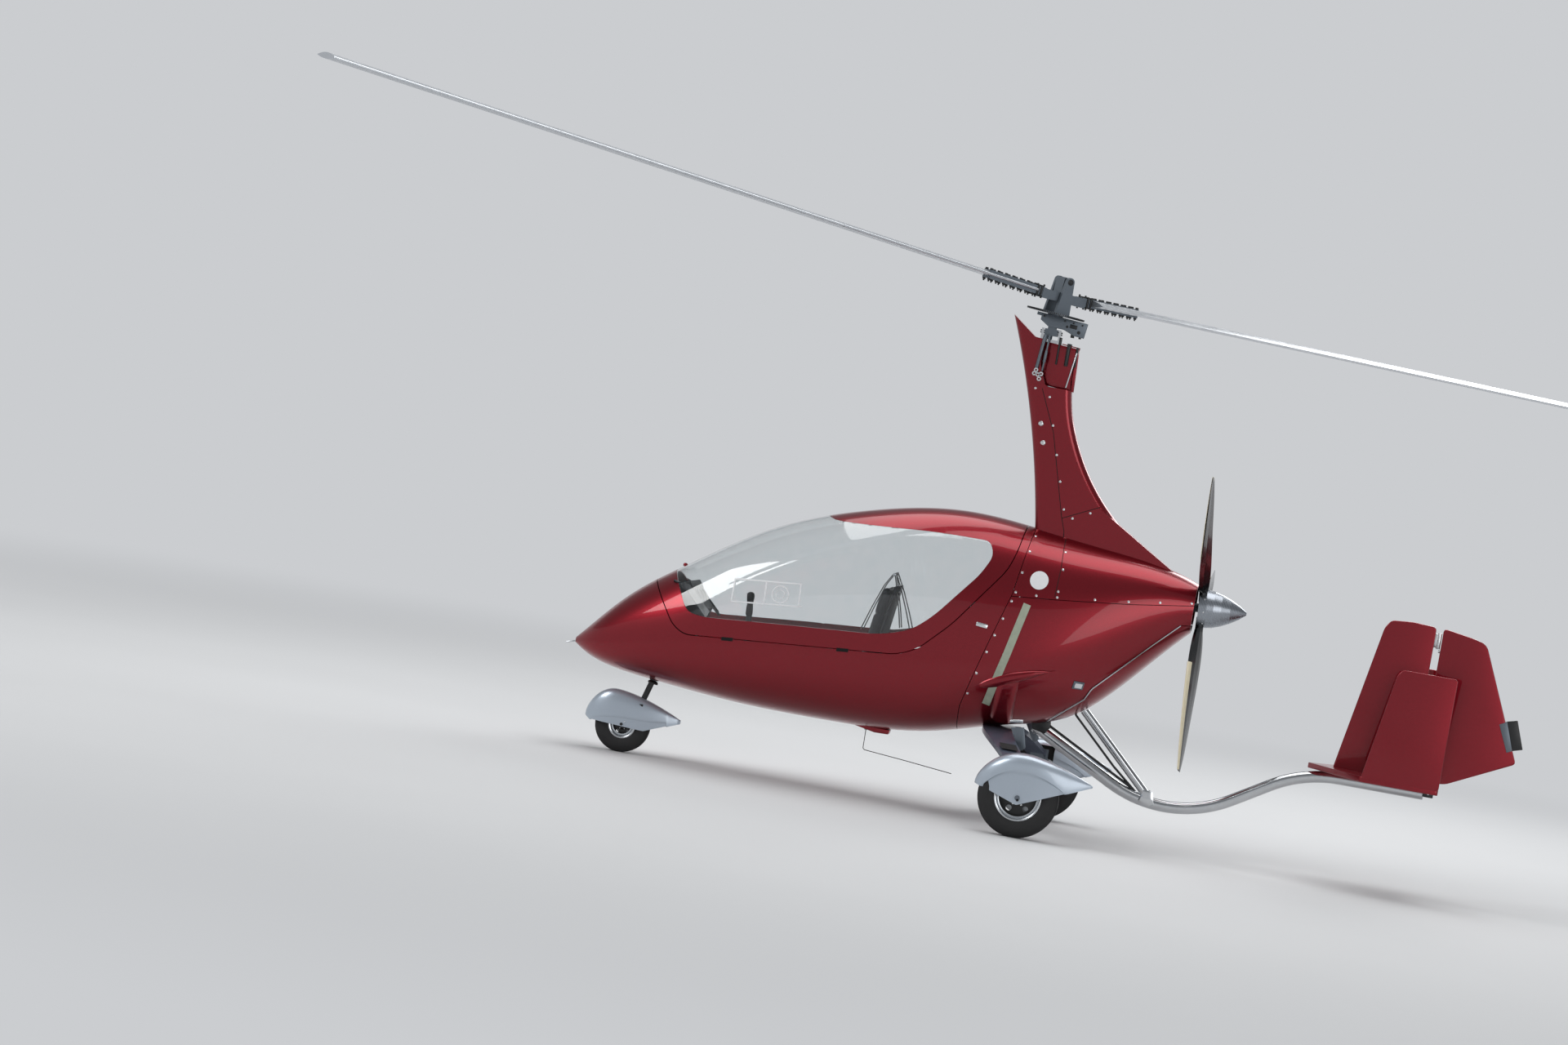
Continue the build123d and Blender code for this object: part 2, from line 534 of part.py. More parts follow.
save("nose_fork", fork)
nose_spat = nose_place * spat(NOSE_SPAT_SIDE, NOSE_SPAT_PLAN, NOSE_SPAT_EDGE, SPAT_WALL) - fork
save("nose_spat", nose_spat.solids().sort_by(SortBy.VOLUME)[-1])
collar = bar(leg_point(392), leg_point(540), NOSE_LEG_RADIUS + COLLAR_WALL)
collar -= bar(leg_point(380), leg_point(570), NOSE_LEG_RADIUS + RUNNING_FIT)
save("nose_leg_bearing", collar)

# Keel tube and strut
KEEL_ROUTE = ((272, 515), (1016, 143), (1644, 530), (2250, 532))
KEEL_RADII = (632, 650)
keel_path = FilletPolyline(*[(x, 0, z) for x, z in KEEL_ROUTE], radius=KEEL_RADII)
keel_start = Plane(origin=keel_path @ 0, z_dir=keel_path % 0)
keel_solid = sweep(keel_start * Circle(KEEL_RADIUS), keel_path)
keel_bore = sweep(keel_start * Circle(KEEL_RADIUS - KEEL_WALL), keel_path)
keel = keel_solid - keel_bore - outer - mast_solid
save("keel_tube", keel.solids().sort_by(SortBy.VOLUME)[-1])
strut = bar((502, 0, 640), (907, 0, 255), STRUT_RADIUS) - keel_solid - outer
save("keel_strut", strut.solids().sort_by(SortBy.VOLUME)[-1])

# Tail: side outlines as x, z, and the stabiliser plan as x, y
FIN_LINE = ((1782, 586), (1914, 1320), (1942, 1362), (2052, 1372), (2172, 1366), (2172, 586))
RUDDER_LINE = ((2204, 1368), (2352, 1345), (2415, 1330), (2437, 1310), (2677, 760),
               (2352, 600), (2282, 590), (2204, 590))
OUTER_FIN_LINE = ((1931, 586), (2020, 1110), (2042, 1138), (2062, 1142), (2320, 1142), (2320, 586))
fin = side_plate(FIN_LINE, -FIN_THICKNESS / 2, FIN_THICKNESS / 2)
rudder = side_plate(RUDDER_LINE, -FIN_THICKNESS / 2 + 3, FIN_THICKNESS / 2 - 3)
rudder += Pos(RUDDER_HINGE_X, 0, 980) * Cylinder(RUDDER_NOSE, 770)
hinge_bores = Pos(RUDDER_HINGE_X, 0, 980) * Cylinder(HINGE_PIN + RUNNING_FIT, 900)
for height in HINGE_HEIGHTS:
    eye = Pos(RUDDER_HINGE_X, 0, height) * Cylinder(HINGE_EYE, HINGE_EYE_HEIGHT)
    arm = Pos(RUDDER_HINGE_X - 14, 0, height) * Box(28, 12, HINGE_EYE_HEIGHT)
    fin += eye + arm
    rudder -= Pos(RUDDER_HINGE_X, 0, height) * Cylinder(RUDDER_NOSE + 6, 14)
rudder += Pos(RUDDER_HINGE_X, 0, 980) * Cylinder(HINGE_PIN, 764)
save("tail_fin", fin - hinge_bores)
save("rudder", rudder)
outer_fins = []
for sign in (-1, 1):
    middle = sign * (TAIL_HALF_SPAN - OUTER_FIN_THICKNESS / 2)
    outer_fins.append(side_plate(
        OUTER_FIN_LINE, middle - OUTER_FIN_THICKNESS / 2, middle + OUTER_FIN_THICKNESS / 2
    ).solids()[0])
save("outer_fins", Compound(children=outer_fins))
plan = outline((
    (1652, 0), (1931, -TAIL_HALF_SPAN), (2320, -TAIL_HALF_SPAN), (2320, TAIL_HALF_SPAN),
    (1931, TAIL_HALF_SPAN),
))
stabiliser = Pos(0, 0, STABILISER_Z - STABILISER_THICKNESS / 2) * extrude(plan, STABILISER_THICKNESS)
save("stabiliser", stabiliser - keel_solid)

# Cockpit
floor = Pos(-890, 0, FLOOR_Z + FLOOR_THICKNESS / 2) * Box(1520, 700, FLOOR_THICKNESS)
collar_hole = bar(leg_point(380), leg_point(570), NOSE_LEG_RADIUS + COLLAR_WALL + 3)
save("cabin_floor", (floor & hollow) - collar_hole)
SEAT_TOP = FLOOR_Z + FLOOR_THICKNESS
SEAT_FRONT = ((-1150, SEAT_TOP), (-1130, 560), (-720, 500), (-640, 560), (-560, 1090),
              (-520, 1090), (-590, 520), (-690, SEAT_TOP))
SEAT_REAR = ((-540, SEAT_TOP), (-530, 640), (-260, 590), (-195, 640), (-100, 1110), (-65, 1110),
             (-155, 600), (-220, SEAT_TOP))
save("seat_front", side_plate(SEAT_FRONT, -SEAT_FRONT_HALF, SEAT_FRONT_HALF))
save("seat_rear", side_plate(SEAT_REAR, -SEAT_REAR_HALF, SEAT_REAR_HALF) & hollow)
PANEL_LINE = ((-1640, 700), (-1640, 880), (-1560, 930), (-1470, 800), (-1500, 700))
PANEL_FACE = Plane(origin=(-1515, 0, 865), x_dir=(0, 1, 0), z_dir=(130, 0, 90))
pedestal = Pos(PEDESTAL_X, 0, (SEAT_TOP + PEDESTAL_TOP) / 2) * Box(
    PEDESTAL_LENGTH, PEDESTAL_WIDTH, PEDESTAL_TOP - SEAT_TOP)
panel = (side_plate(PANEL_LINE, -PANEL_HALF, PANEL_HALF) + pedestal) & hull_body(CANOPY_WALL + 10)
for step in (-1, 0, 1):
    hole = Pos(step * INSTRUMENT_PITCH, 0) * Circle(INSTRUMENT_RADIUS)
    panel -= extrude(PANEL_FACE * hole, -INSTRUMENT_DEPTH)
    panel -= extrude(PANEL_FACE * hole, 60)
save("instrument_panel", panel)
stick = bar((-1229, 0, SEAT_TOP - 20), (-1260, 0, 850), STICK_RADIUS) - floor
save("control_stick", stick.solids().sort_by(SortBy.VOLUME)[-1])
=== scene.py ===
import json
from math import cos, exp, hypot, pi, radians, sin

import bpy
import numpy as np
from mathutils import Matrix, Vector

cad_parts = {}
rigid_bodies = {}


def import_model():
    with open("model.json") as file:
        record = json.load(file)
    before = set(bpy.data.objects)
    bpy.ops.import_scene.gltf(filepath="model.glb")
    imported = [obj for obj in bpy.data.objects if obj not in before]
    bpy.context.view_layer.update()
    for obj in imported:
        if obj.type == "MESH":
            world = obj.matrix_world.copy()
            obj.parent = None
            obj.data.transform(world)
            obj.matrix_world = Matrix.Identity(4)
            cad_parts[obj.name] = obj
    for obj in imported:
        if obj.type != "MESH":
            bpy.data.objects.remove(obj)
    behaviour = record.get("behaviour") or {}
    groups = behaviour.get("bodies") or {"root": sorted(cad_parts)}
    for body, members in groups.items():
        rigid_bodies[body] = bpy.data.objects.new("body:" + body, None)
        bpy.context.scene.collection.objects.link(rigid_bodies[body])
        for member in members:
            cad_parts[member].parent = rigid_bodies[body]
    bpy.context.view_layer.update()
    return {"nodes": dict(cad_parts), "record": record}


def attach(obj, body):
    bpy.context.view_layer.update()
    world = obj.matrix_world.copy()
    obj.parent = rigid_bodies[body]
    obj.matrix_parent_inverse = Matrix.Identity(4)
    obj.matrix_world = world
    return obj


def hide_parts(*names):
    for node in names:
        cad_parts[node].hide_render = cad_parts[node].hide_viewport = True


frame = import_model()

NODES = frame["nodes"]
for o in bpy.data.objects:
    o.select_set(False)


# Materials
def colour(code):
    """sRGB hex code to linear RGBA."""
    parts = [int(code[i:i + 2], 16) / 255 for i in (1, 3, 5)]
    return [c / 12.92 if c <= 0.04045 else ((c + 0.055) / 1.055) ** 2.4 for c in parts] + [1.0]


def add(m, kind, links=(), **settings):
    """Adds a node with its settings, and its links as (socket here, node there, socket there)."""
    node = m.node_tree.nodes.new(kind)
    for key, value in settings.items():
        if hasattr(node, key):
            setattr(node, key, value)
        else:
            node.inputs[key.replace("_", " ")].default_value = value
    for socket, source, output in links:
        m.node_tree.links.new(source.outputs[output], node.inputs[socket])
    return node


def surface(name, metallic, **sockets):
    """New material with its Principled shader and the object's own coordinates."""
    m = bpy.data.materials.new(name)
    m.use_nodes = True
    shader = m.node_tree.nodes["Principled BSDF"]
    shader.inputs["Metallic"].default_value = metallic
    for key, value in sockets.items():
        shader.inputs[key.replace("_", " ")].default_value = value
    return m, shader, add(m, "ShaderNodeTexCoord")


def finish(m, shader, dark, pale, tone, gloss, low, high, relief=None, depth_mm=0.0):
    """Colour between two tones, roughness between two values and a relief, each led by a pattern."""
    shades = add(m, "ShaderNodeMix", [("Factor", *tone)], data_type="RGBA")
    shades.inputs["A"].default_value = colour(dark)
    shades.inputs["B"].default_value = colour(pale)
    m.node_tree.links.new(shades.outputs["Result"], shader.inputs["Base Color"])
    span = add(m, "ShaderNodeMapRange", [("Value", *gloss)], To_Min=low, To_Max=high)
    m.node_tree.links.new(span.outputs["Result"], shader.inputs["Roughness"])
    if relief:
        bump = add(m, "ShaderNodeBump", [("Height", *relief)], Strength=1.0, Distance=depth_mm / 1000)
        m.node_tree.links.new(bump.outputs["Normal"], shader.inputs["Normal"])
    m.diffuse_color = colour(pale)
    return m


def per_metre(size_mm):
    """Scale of a pattern whose cells are so many millimetres."""
    return 1000.0 / size_mm


def bands(size_mm):
    """Scale of a wave pattern with one band every so many millimetres."""
    return per_metre(size_mm) * pi / 10


def candy_red_lacquer():
    # Metal flake under red-tinted lacquer, sprayed on moulded composite: deep red that turns near black away
    # from the light, with a clear gloss on top. Flakes of 0.1 mm are drawn at 1.5 mm so that they show.
    m, shader, where = surface("candy_red_lacquer", 0.78, Coat_Weight=0.55, Coat_Roughness=0.03, Coat_IOR=1.5)
    flake = add(m, "ShaderNodeTexVoronoi", [("Vector", where, "Object")], Scale=per_metre(1.5))
    peel = add(m, "ShaderNodeTexNoise", [("Vector", where, "Object")], Scale=per_metre(6), Detail=2.0)
    return finish(m, shader, "#760617", "#8A081C", (flake, "Distance"), (flake, "Distance"), 0.24, 0.34,
                  (peel, "Fac"), 0.02)


def silver_lacquer():
    # Silver-grey base coat under clear lacquer on the wheel covers: cool, soft highlight with a slight peel.
    # Flakes of 0.1 mm are drawn at 1.2 mm so that they show.
    m, shader, where = surface("silver_grey_lacquer", 0.45, Coat_Weight=0.8, Coat_Roughness=0.05,
                               Coat_IOR=1.5)
    flake = add(m, "ShaderNodeTexVoronoi", [("Vector", where, "Object")], Scale=per_metre(1.2))
    peel = add(m, "ShaderNodeTexNoise", [("Vector", where, "Object")], Scale=per_metre(5), Detail=2.0)
    return finish(m, shader, "#A3AEBB", "#B4BFCA", (flake, "Distance"), (flake, "Distance"), 0.28, 0.38,
                  (peel, "Fac"), 0.02)


def blown_acrylic():
    # Acrylic sheet blown hot over a ring: colourless, glossy, with faint wipe marks some 60 mm long
    m, shader, where = surface("blown_acrylic", 0.0, Transmission_Weight=1.0, IOR=1.49)
    wipe = add(m, "ShaderNodeTexNoise", [("Vector", where, "Object")], Scale=per_metre(60), Detail=4.0)
    return finish(m, shader, "#F4F8F9", "#FBFCFC", (wipe, "Fac"), (wipe, "Fac"), 0.0, 0.05)


def moulded_lining():
    # Vacuum-formed ABS with a leather-like grain of 1.5 mm: dull black, a little light caught on its grain
    m, shader, where = surface("moulded_cabin_lining", 0.0, IOR=1.54)
    grain = add(m, "ShaderNodeTexVoronoi", [("Vector", where, "Object")], Scale=per_metre(1.5))
    return finish(m, shader, "#1D2025", "#2A2E34", (grain, "Distance"), (grain, "Distance"), 0.6, 0.8,
                  (grain, "Distance"), 0.25)


def dashboard_moulding():
    # Satin black paint on glass fibre: even, with a fine spray texture of 2 mm
    m, shader, where = surface("dashboard_moulding", 0.0, IOR=1.5)
    spray = add(m, "ShaderNodeTexNoise", [("Vector", where, "Object")], Scale=per_metre(2), Detail=3.0)
    return finish(m, shader, "#16191F", "#20242C", (spray, "Fac"), (spray, "Fac"), 0.42, 0.6,
                  (spray, "Fac"), 0.12)


def woven_seat_cloth():
    # Woven polyester on foam: threads of 0.8 mm, drawn at 4.7 mm so that the weave shows, with a soft sheen
    m, shader, where = surface("woven_seat_cloth", 0.0, Sheen_Weight=0.35, Sheen_Roughness=0.5, IOR=1.5)
    thread = bands(4.735)
    warp = add(m, "ShaderNodeTexWave", [("Vector", where, "Object")], bands_direction="Y", Scale=thread)
    weft = add(m, "ShaderNodeTexWave", [("Vector", where, "Object")], bands_direction="Z", Scale=thread)
    weave = add(m, "ShaderNodeMath", [(0, warp, "Fac"), (1, weft, "Fac")], operation="MULTIPLY")
    wear = add(m, "ShaderNodeTexNoise", [("Vector", where, "Object")], Scale=per_metre(70), Detail=3.0)
    return finish(m, shader, "#1A1D22", "#2A2E35", (wear, "Fac"), (weave, "Value"), 0.8, 0.95,
                  (weave, "Value"), 0.4)


def belt_webbing():
    # Polyester webbing: ribs across the belt every 1.5 mm, drawn at 5.9 mm so that they show, each with a
    # dull gleam
    m, shader, where = surface("seat_belt_webbing", 0.0, Sheen_Weight=0.2, IOR=1.5)
    rib = add(m, "ShaderNodeTexWave", [("Vector", where, "Object")], bands_direction="Z", Scale=bands(5.919))
    return finish(m, shader, "#0D0F12", "#181B1F", (rib, "Fac"), (rib, "Fac"), 0.6, 0.85, (rib, "Fac"), 0.3)


def rolled_sheet():
    # Rolled aluminium sheet: fine lines from the rolls along its length, a soft blurred mirror
    m, shader, where = surface("rolled_aluminium_sheet", 1.0)
    drawn = add(m, "ShaderNodeMapping", [("Vector", where, "Object")], Scale=(0.05, 1.0, 1.0))
    lines = add(m, "ShaderNodeTexNoise", [("Vector", drawn, "Vector")], Scale=per_metre(2), Detail=4.0)
    return finish(m, shader, "#939699", "#A6A9AC", (lines, "Fac"), (lines, "Fac"), 0.28, 0.45)


def grey_anodised():
    # Milled aluminium, bead blasted and anodised grey: matt metal with an even fine grain, drawn at 1.5 mm
    m, shader, where = surface("grey_anodised_aluminium", 0.85)
    grain = add(m, "ShaderNodeTexNoise", [("Vector", where, "Object")], Scale=per_metre(1.5), Detail=3.0)
    return finish(m, shader, "#626970", "#757D85", (grain, "Fac"), (grain, "Fac"), 0.36, 0.5,
                  (grain, "Fac"), 0.04)


def turned_aluminium():
    # Spun and turned aluminium of the wheel rims: bright, with tool marks about 2 mm apart
    m, shader, where = surface("turned_aluminium", 1.0)
    marks = add(m, "ShaderNodeTexNoise", [("Vector", where, "Object")], Scale=per_metre(2), Detail=4.0)
    return finish(m, shader, "#C0C4C8", "#D2D5D8", (marks, "Fac"), (marks, "Fac"), 0.18, 0.32,
                  (marks, "Fac"), 0.02)


def extruded_blade():
    # Extruded aluminium rotor blade, cleaned and waxed: pale satin metal with faint streaks of 80 mm
    m, shader, where = surface("extruded_blade_aluminium", 0.9)
    streak = add(m, "ShaderNodeTexNoise", [("Vector", where, "Object")], Scale=per_metre(80), Detail=5.0)
    return finish(m, shader, "#B9BDC2", "#CDD0D4", (streak, "Fac"), (streak, "Fac"), 0.24, 0.38)


def polished_stainless():
    # Stainless tube, polished: near mirror with a slight haze in patches of 40 mm
    m, shader, where = surface("polished_stainless", 1.0)
    haze = add(m, "ShaderNodeTexNoise", [("Vector", where, "Object")], Scale=per_metre(40), Detail=5.0)
    return finish(m, shader, "#BEC0C3", "#CBCDCF", (haze, "Fac"), (haze, "Fac"), 0.07, 0.2)


def black_powder_coat():
    # Powder-coated steel: black, half gloss, with a peel of 2 mm
    m, shader, where = surface("black_powder_coated_steel", 0.0, IOR=1.5)
    peel = add(m, "ShaderNodeTexNoise", [("Vector", where, "Object")], Scale=per_metre(2), Detail=2.0)
    return finish(m, shader, "#131415", "#1C1D1F", (peel, "Fac"), (peel, "Fac"), 0.32, 0.46,
                  (peel, "Fac"), 0.06)


def grey_powder_coat():
    # Powder-coated steel of the nose fork and axles: blue-grey, half gloss, with a peel of 2 mm
    m, shader, where = surface("blue_grey_powder_coated_steel", 0.0, IOR=1.5)
    peel = add(m, "ShaderNodeTexNoise", [("Vector", where, "Object")], Scale=per_metre(2), Detail=2.0)
    return finish(m, shader, "#353941", "#41454E", (peel, "Fac"), (peel, "Fac"), 0.34, 0.48,
                  (peel, "Fac"), 0.06)


def spring_laminate():
    # Glass-fibre laminate of the gear bow under blue-grey gel: smooth gloss, its 8 mm weave just showing
    m, shader, where = surface("spring_bow_laminate", 0.0, Coat_Weight=0.5, Coat_Roughness=0.1, IOR=1.5)
    weave = add(m, "ShaderNodeTexChecker", [("Vector", where, "Object")], Scale=per_metre(8))
    cloud = add(m, "ShaderNodeTexNoise", [("Vector", where, "Object")], Scale=per_metre(90), Detail=3.0)
    return finish(m, shader, "#474C5A", "#565C6A", (cloud, "Fac"), (weave, "Fac"), 0.3, 0.36)


def tyre_rubber():
    # Vulcanised rubber with carbon black: matt, a fine bloom of 1.5 mm and dust in patches of 50 mm
    m, shader, where = surface("tyre_rubber", 0.0, IOR=1.52)
    bloom = add(m, "ShaderNodeTexNoise", [("Vector", where, "Object")], Scale=per_metre(1.5), Detail=4.0)
    dust = add(m, "ShaderNodeTexNoise", [("Vector", where, "Object")], Scale=per_metre(50), Detail=4.0)
    return finish(m, shader, "#131314", "#222122", (dust, "Fac"), (bloom, "Fac"), 0.62, 0.85,
                  (bloom, "Fac"), 0.1)


def propeller_composite():
    # Moulded carbon composite with a clear coat: black gloss, the 3 mm weave faint beneath
    m, shader, where = surface("propeller_composite", 0.0, Coat_Weight=0.6, Coat_Roughness=0.08, IOR=1.55)
    weave = add(m, "ShaderNodeTexChecker", [("Vector", where, "Object")], Scale=per_metre(3))
    return finish(m, shader, "#0E0F11", "#15171A", (weave, "Fac"), (weave, "Fac"), 0.26, 0.34)


def leading_edge_guard():
    # Polyurethane guard bonded to the propeller's leading edges: cream, satin, yellowed in patches of 30 mm
    m, shader, where = surface("cream_edge_guard", 0.0, IOR=1.5)
    age = add(m, "ShaderNodeTexNoise", [("Vector", where, "Object")], Scale=per_metre(30), Detail=3.0)
    return finish(m, shader, "#E0D3AE", "#EEE6CF", (age, "Fac"), (age, "Fac"), 0.35, 0.5)


def spun_spinner():
    # Spun aluminium spinner in satin finish: rings from spinning every 6 mm or so
    m, shader, where = surface("spun_spinner_aluminium", 0.95)
    rings = add(m, "ShaderNodeTexWave", [("Vector", where, "Object")], bands_direction="X",
                Scale=bands(5.919))
    return finish(m, shader, "#8E939A", "#9DA2A9", (rings, "Fac"), (rings, "Fac"), 0.22, 0.34)


def cast_block():
    # Sand-cast aluminium of the engine: rough grey skin with a grit of 2 mm
    m, shader, where = surface("cast_engine_aluminium", 0.7)
    grit = add(m, "ShaderNodeTexNoise", [("Vector", where, "Object")], Scale=per_metre(2), Detail=5.0)
    return finish(m, shader, "#484B4E", "#5E6164", (grit, "Fac"), (grit, "Fac"), 0.5, 0.7, (grit, "Fac"), 0.3)


def plated_screws():
    # Zinc-plated screw heads and rod ends: bright with a faint mottle of 2 mm
    m, shader, where = surface("plated_screw_heads", 0.95)
    mottle = add(m, "ShaderNodeTexNoise", [("Vector", where, "Object")], Scale=per_metre(2), Detail=2.0)
    return finish(m, shader, "#CDD0D2", "#DEE0E1", (mottle, "Fac"), (mottle, "Fac"), 0.2, 0.32)


def frame_strip_metal():
    # Chromated aluminium strip over the frame: pale green-grey, dull, with stains some 25 mm across
    m, shader, where = surface("chromated_frame_strip", 0.4)
    stain = add(m, "ShaderNodeTexNoise", [("Vector", where, "Object")], Scale=per_metre(25), Detail=5.0)
    return finish(m, shader, "#8F9787", "#B6BCA9", (stain, "Fac"), (stain, "Fac"), 0.42, 0.6)


def white_film():
    # Self-adhesive vinyl film: plain white, slightly glossy, lying on the skin
    m, shader, where = surface("white_vinyl_film", 0.0, IOR=1.5)
    press = add(m, "ShaderNodeTexNoise", [("Vector", where, "Object")], Scale=per_metre(12), Detail=2.0)
    return finish(m, shader, "#E2E3E5", "#EAEBED", (press, "Fac"), (press, "Fac"), 0.3, 0.4)


def seam_shadow():
    # Painted shadow for the depth of seams, gaps and recesses: soft black without a highlight
    m, shader, where = surface("painted_seam_shadow", 0.0, IOR=1.4)
    shadow_mottle = add(m, "ShaderNodeTexNoise", [("Vector", where, "Object")], Scale=per_metre(4), Detail=2.0)
    return finish(m, shader, "#090809", "#100E0F", (shadow_mottle, "Fac"), (shadow_mottle, "Fac"), 0.75, 0.9)


def studio_paper():
    # Matt background paper under even light: pale grey, with a tone that drifts over a metre or so. Far from
    # the object it fades into the evenly lit backdrop, for what the eye, gloss and glass see of it.
    m, shader, where = surface("pale_studio_paper", 0.0, IOR=1.4)
    drift = add(m, "ShaderNodeTexNoise", [("Vector", where, "Object")], Scale=per_metre(1500), Detail=1.0)
    finish(m, shader, "#CFD0D1", "#D3D4D5", (drift, "Fac"), (drift, "Fac"), 0.85, 0.95)
    reach = add(m, "ShaderNodeVectorMath", [("Vector", where, "Object")], operation="LENGTH")
    far = add(m, "ShaderNodeMapRange", [("Value", reach, "Value")], interpolation_type="SMOOTHSTEP",
              From_Min=4.0, From_Max=13.0)
    ray = add(m, "ShaderNodeLightPath")
    gloss = add(m, "ShaderNodeMath", [(0, ray, "Is Camera Ray"), (1, ray, "Is Glossy Ray")],
                operation="MAXIMUM")
    glass = add(m, "ShaderNodeMath", [(0, gloss, "Value"), (1, ray, "Is Transmission Ray")],
                operation="MAXIMUM")
    share = add(m, "ShaderNodeMath", [(0, far, "Result"), (1, glass, "Value")], operation="MULTIPLY")
    lit = add(m, "ShaderNodeEmission", Color=colour("#CBCDD0"), Strength=1.0)
    mixed = add(m, "ShaderNodeMixShader", [
        ("Fac", share, "Value"), (1, shader, "BSDF"), (2, lit, "Emission")])
    m.node_tree.links.new(mixed.outputs["Shader"], m.node_tree.nodes["Material Output"].inputs["Surface"])
    return m


RED, SILVER, ACRYLIC = candy_red_lacquer(), silver_lacquer(), blown_acrylic()
LINING, DASH, CLOTH, WEBBING = moulded_lining(), dashboard_moulding(), woven_seat_cloth(), belt_webbing()
SHEET, ANODISED, BRIGHT, BLADE = rolled_sheet(), grey_anodised(), turned_aluminium(), extruded_blade()
POLISHED, BLACK, LEG = polished_stainless(), black_powder_coat(), grey_powder_coat()
LAMINATE, RUBBER = spring_laminate(), tyre_rubber()
CARBON, CREAM = propeller_composite(), leading_edge_guard()
SPINNER, BLOCK, SCREW, STRIP = spun_spinner(), cast_block(), plated_screws(), frame_strip_metal()
WHITE, SEAM = white_film(), seam_shadow()


# Helpers
def smoothed(obj, angle):
    """Smooth shading, but for edges sharper than an angle."""
    with bpy.context.temp_override(object=obj, selected_editable_objects=[obj],
                                   selected_objects=[obj], active_object=obj):
        bpy.ops.object.shade_smooth_by_angle(angle=radians(angle))


def place(obj, mat, body, node=None, smooth=32):
    """Give a finished piece its surface, its body and what it stands for."""
    obj.data.materials.clear()
    obj.data.materials.append(mat)
    smoothed(obj, smooth)
    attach(obj, body)
    if node:
        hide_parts(node)
    return obj


def shift(x, y, z):
    """Placement that moves a piece by so many mm."""
    return Matrix.Translation((x / 1000, y / 1000, z / 1000))


def swing(degrees, axis="Z"):
    """Placement that turns a piece about an axis."""
    return Matrix.Rotation(radians(degrees), 4, axis)


def apply_all(obj):
    """Takes every modifier into the mesh."""
    with bpy.context.temp_override(object=obj, active_object=obj, selected_objects=[obj]):
        for modifier in list(obj.modifiers):
            bpy.ops.object.modifier_apply(modifier=modifier.name)
    return obj


def boolean(target, cutter, operation="DIFFERENCE", keep=False, own=False):
    """Cuts a piece with another, which then goes, unless it is kept for the next cut."""
    modifier = target.modifiers.new("cut", "BOOLEAN")
    modifier.operation = operation
    modifier.solver = "EXACT"
    modifier.use_self = own
    modifier.object = cutter
    apply_all(target)
    if not keep:
        bpy.data.objects.remove(cutter)
    return target


def copy_of(obj, name):
    """A second piece with its own mesh."""
    twin = obj.copy()
    twin.data = obj.data.copy()
    twin.name = name
    bpy.context.scene.collection.objects.link(twin)
    return twin


def grown(points, amount):
    """Side outline with every edge moved outwards by an amount."""
    area = sum(a[0] * b[1] - b[0] * a[1] for a, b in zip(points, points[1:] + points[:1]))
    turn = 1 if area > 0 else -1
    out = []
    count = len(points)
    for i in range(count):
        p, q, r = (Vector(points[(i + k) % count]) for k in (-1, 0, 1))
        a, b = (q - p).normalized(), (r - q).normalized()
        na, nb = Vector((a.y, -a.x)) * turn, Vector((b.y, -b.x)) * turn
        middle = (na + nb).normalized()
        out.append(tuple(q + middle * amount / max(0.3, middle.dot(na))))
    return out


def softened(points, radius, steps=6):
    """Side outline with its corners rounded."""
    out = []
    count = len(points)
    for i in range(count):
        p, q, r = (Vector(points[(i + k) % count]) for k in (-1, 0, 1))
        reach = min(radius, (p - q).length * 0.45, (r - q).length * 0.45)
        a, b = q + (p - q).normalized() * reach, q + (r - q).normalized() * reach
        for k in range(steps + 1):
            t = k / steps
            out.append(tuple(a * (1 - t) ** 2 + q * 2 * t * (1 - t) + b * t * t))
    return out


# Modelling by operators
def named(name):
    """The piece just added, with its place taken into its mesh."""
    obj = bpy.context.object
    obj.name = name
    obj.data.transform(obj.matrix_world)
    obj.matrix_world = Matrix.Identity(4)
    obj.select_set(False)
    return obj


def edit_whole(obj, operator, **settings):
    """Runs an operator of edit mode on all of a piece."""
    bpy.context.view_layer.objects.active = obj
    bpy.ops.object.mode_set(mode="EDIT")
    bpy.ops.mesh.select_all(action="SELECT")
    operator(**settings)
    bpy.ops.object.mode_set(mode="OBJECT")
    return obj


def merged(obj):
    """Points that meet made one, which closes seams and poles."""
    return edit_whole(obj, bpy.ops.mesh.remove_doubles, threshold=0.00001)


def outward(obj):
    """Faces turned outwards."""
    return edit_whole(obj, bpy.ops.mesh.normals_make_consistent, inside=False)


def edged(obj, width, segments=2, angle=40):
    """Softened edges, width in mm."""
    modifier = obj.modifiers.new("edge", "BEVEL")
    modifier.width = width / 1000
    modifier.segments = segments
    modifier.limit_method = "ANGLE"
    modifier.angle_limit = radians(angle)
    return apply_all(obj)


def block(name, low, high, edge=1.5):
    """Block between two corners in mm."""
    low, high = Vector(low) / 1000, Vector(high) / 1000
    bpy.ops.mesh.primitive_cube_add(size=1, location=(low + high) / 2)
    bpy.context.object.scale = high - low
    bpy.context.view_layer.update()
    obj = named(name)
    return edged(obj, edge) if edge else obj


def bar(name, start, end, radius, sides=20, edge=1.0):
    """Round bar between two points in mm."""
    a, b = Vector(start) / 1000, Vector(end) / 1000
    turn = (b - a).to_track_quat("Z", "Y").to_euler()
    bpy.ops.mesh.primitive_cylinder_add(
        vertices=sides, radius=radius / 1000, depth=(b - a).length, location=(a + b) / 2, rotation=turn)
    obj = named(name)
    return edged(obj, edge) if edge else obj


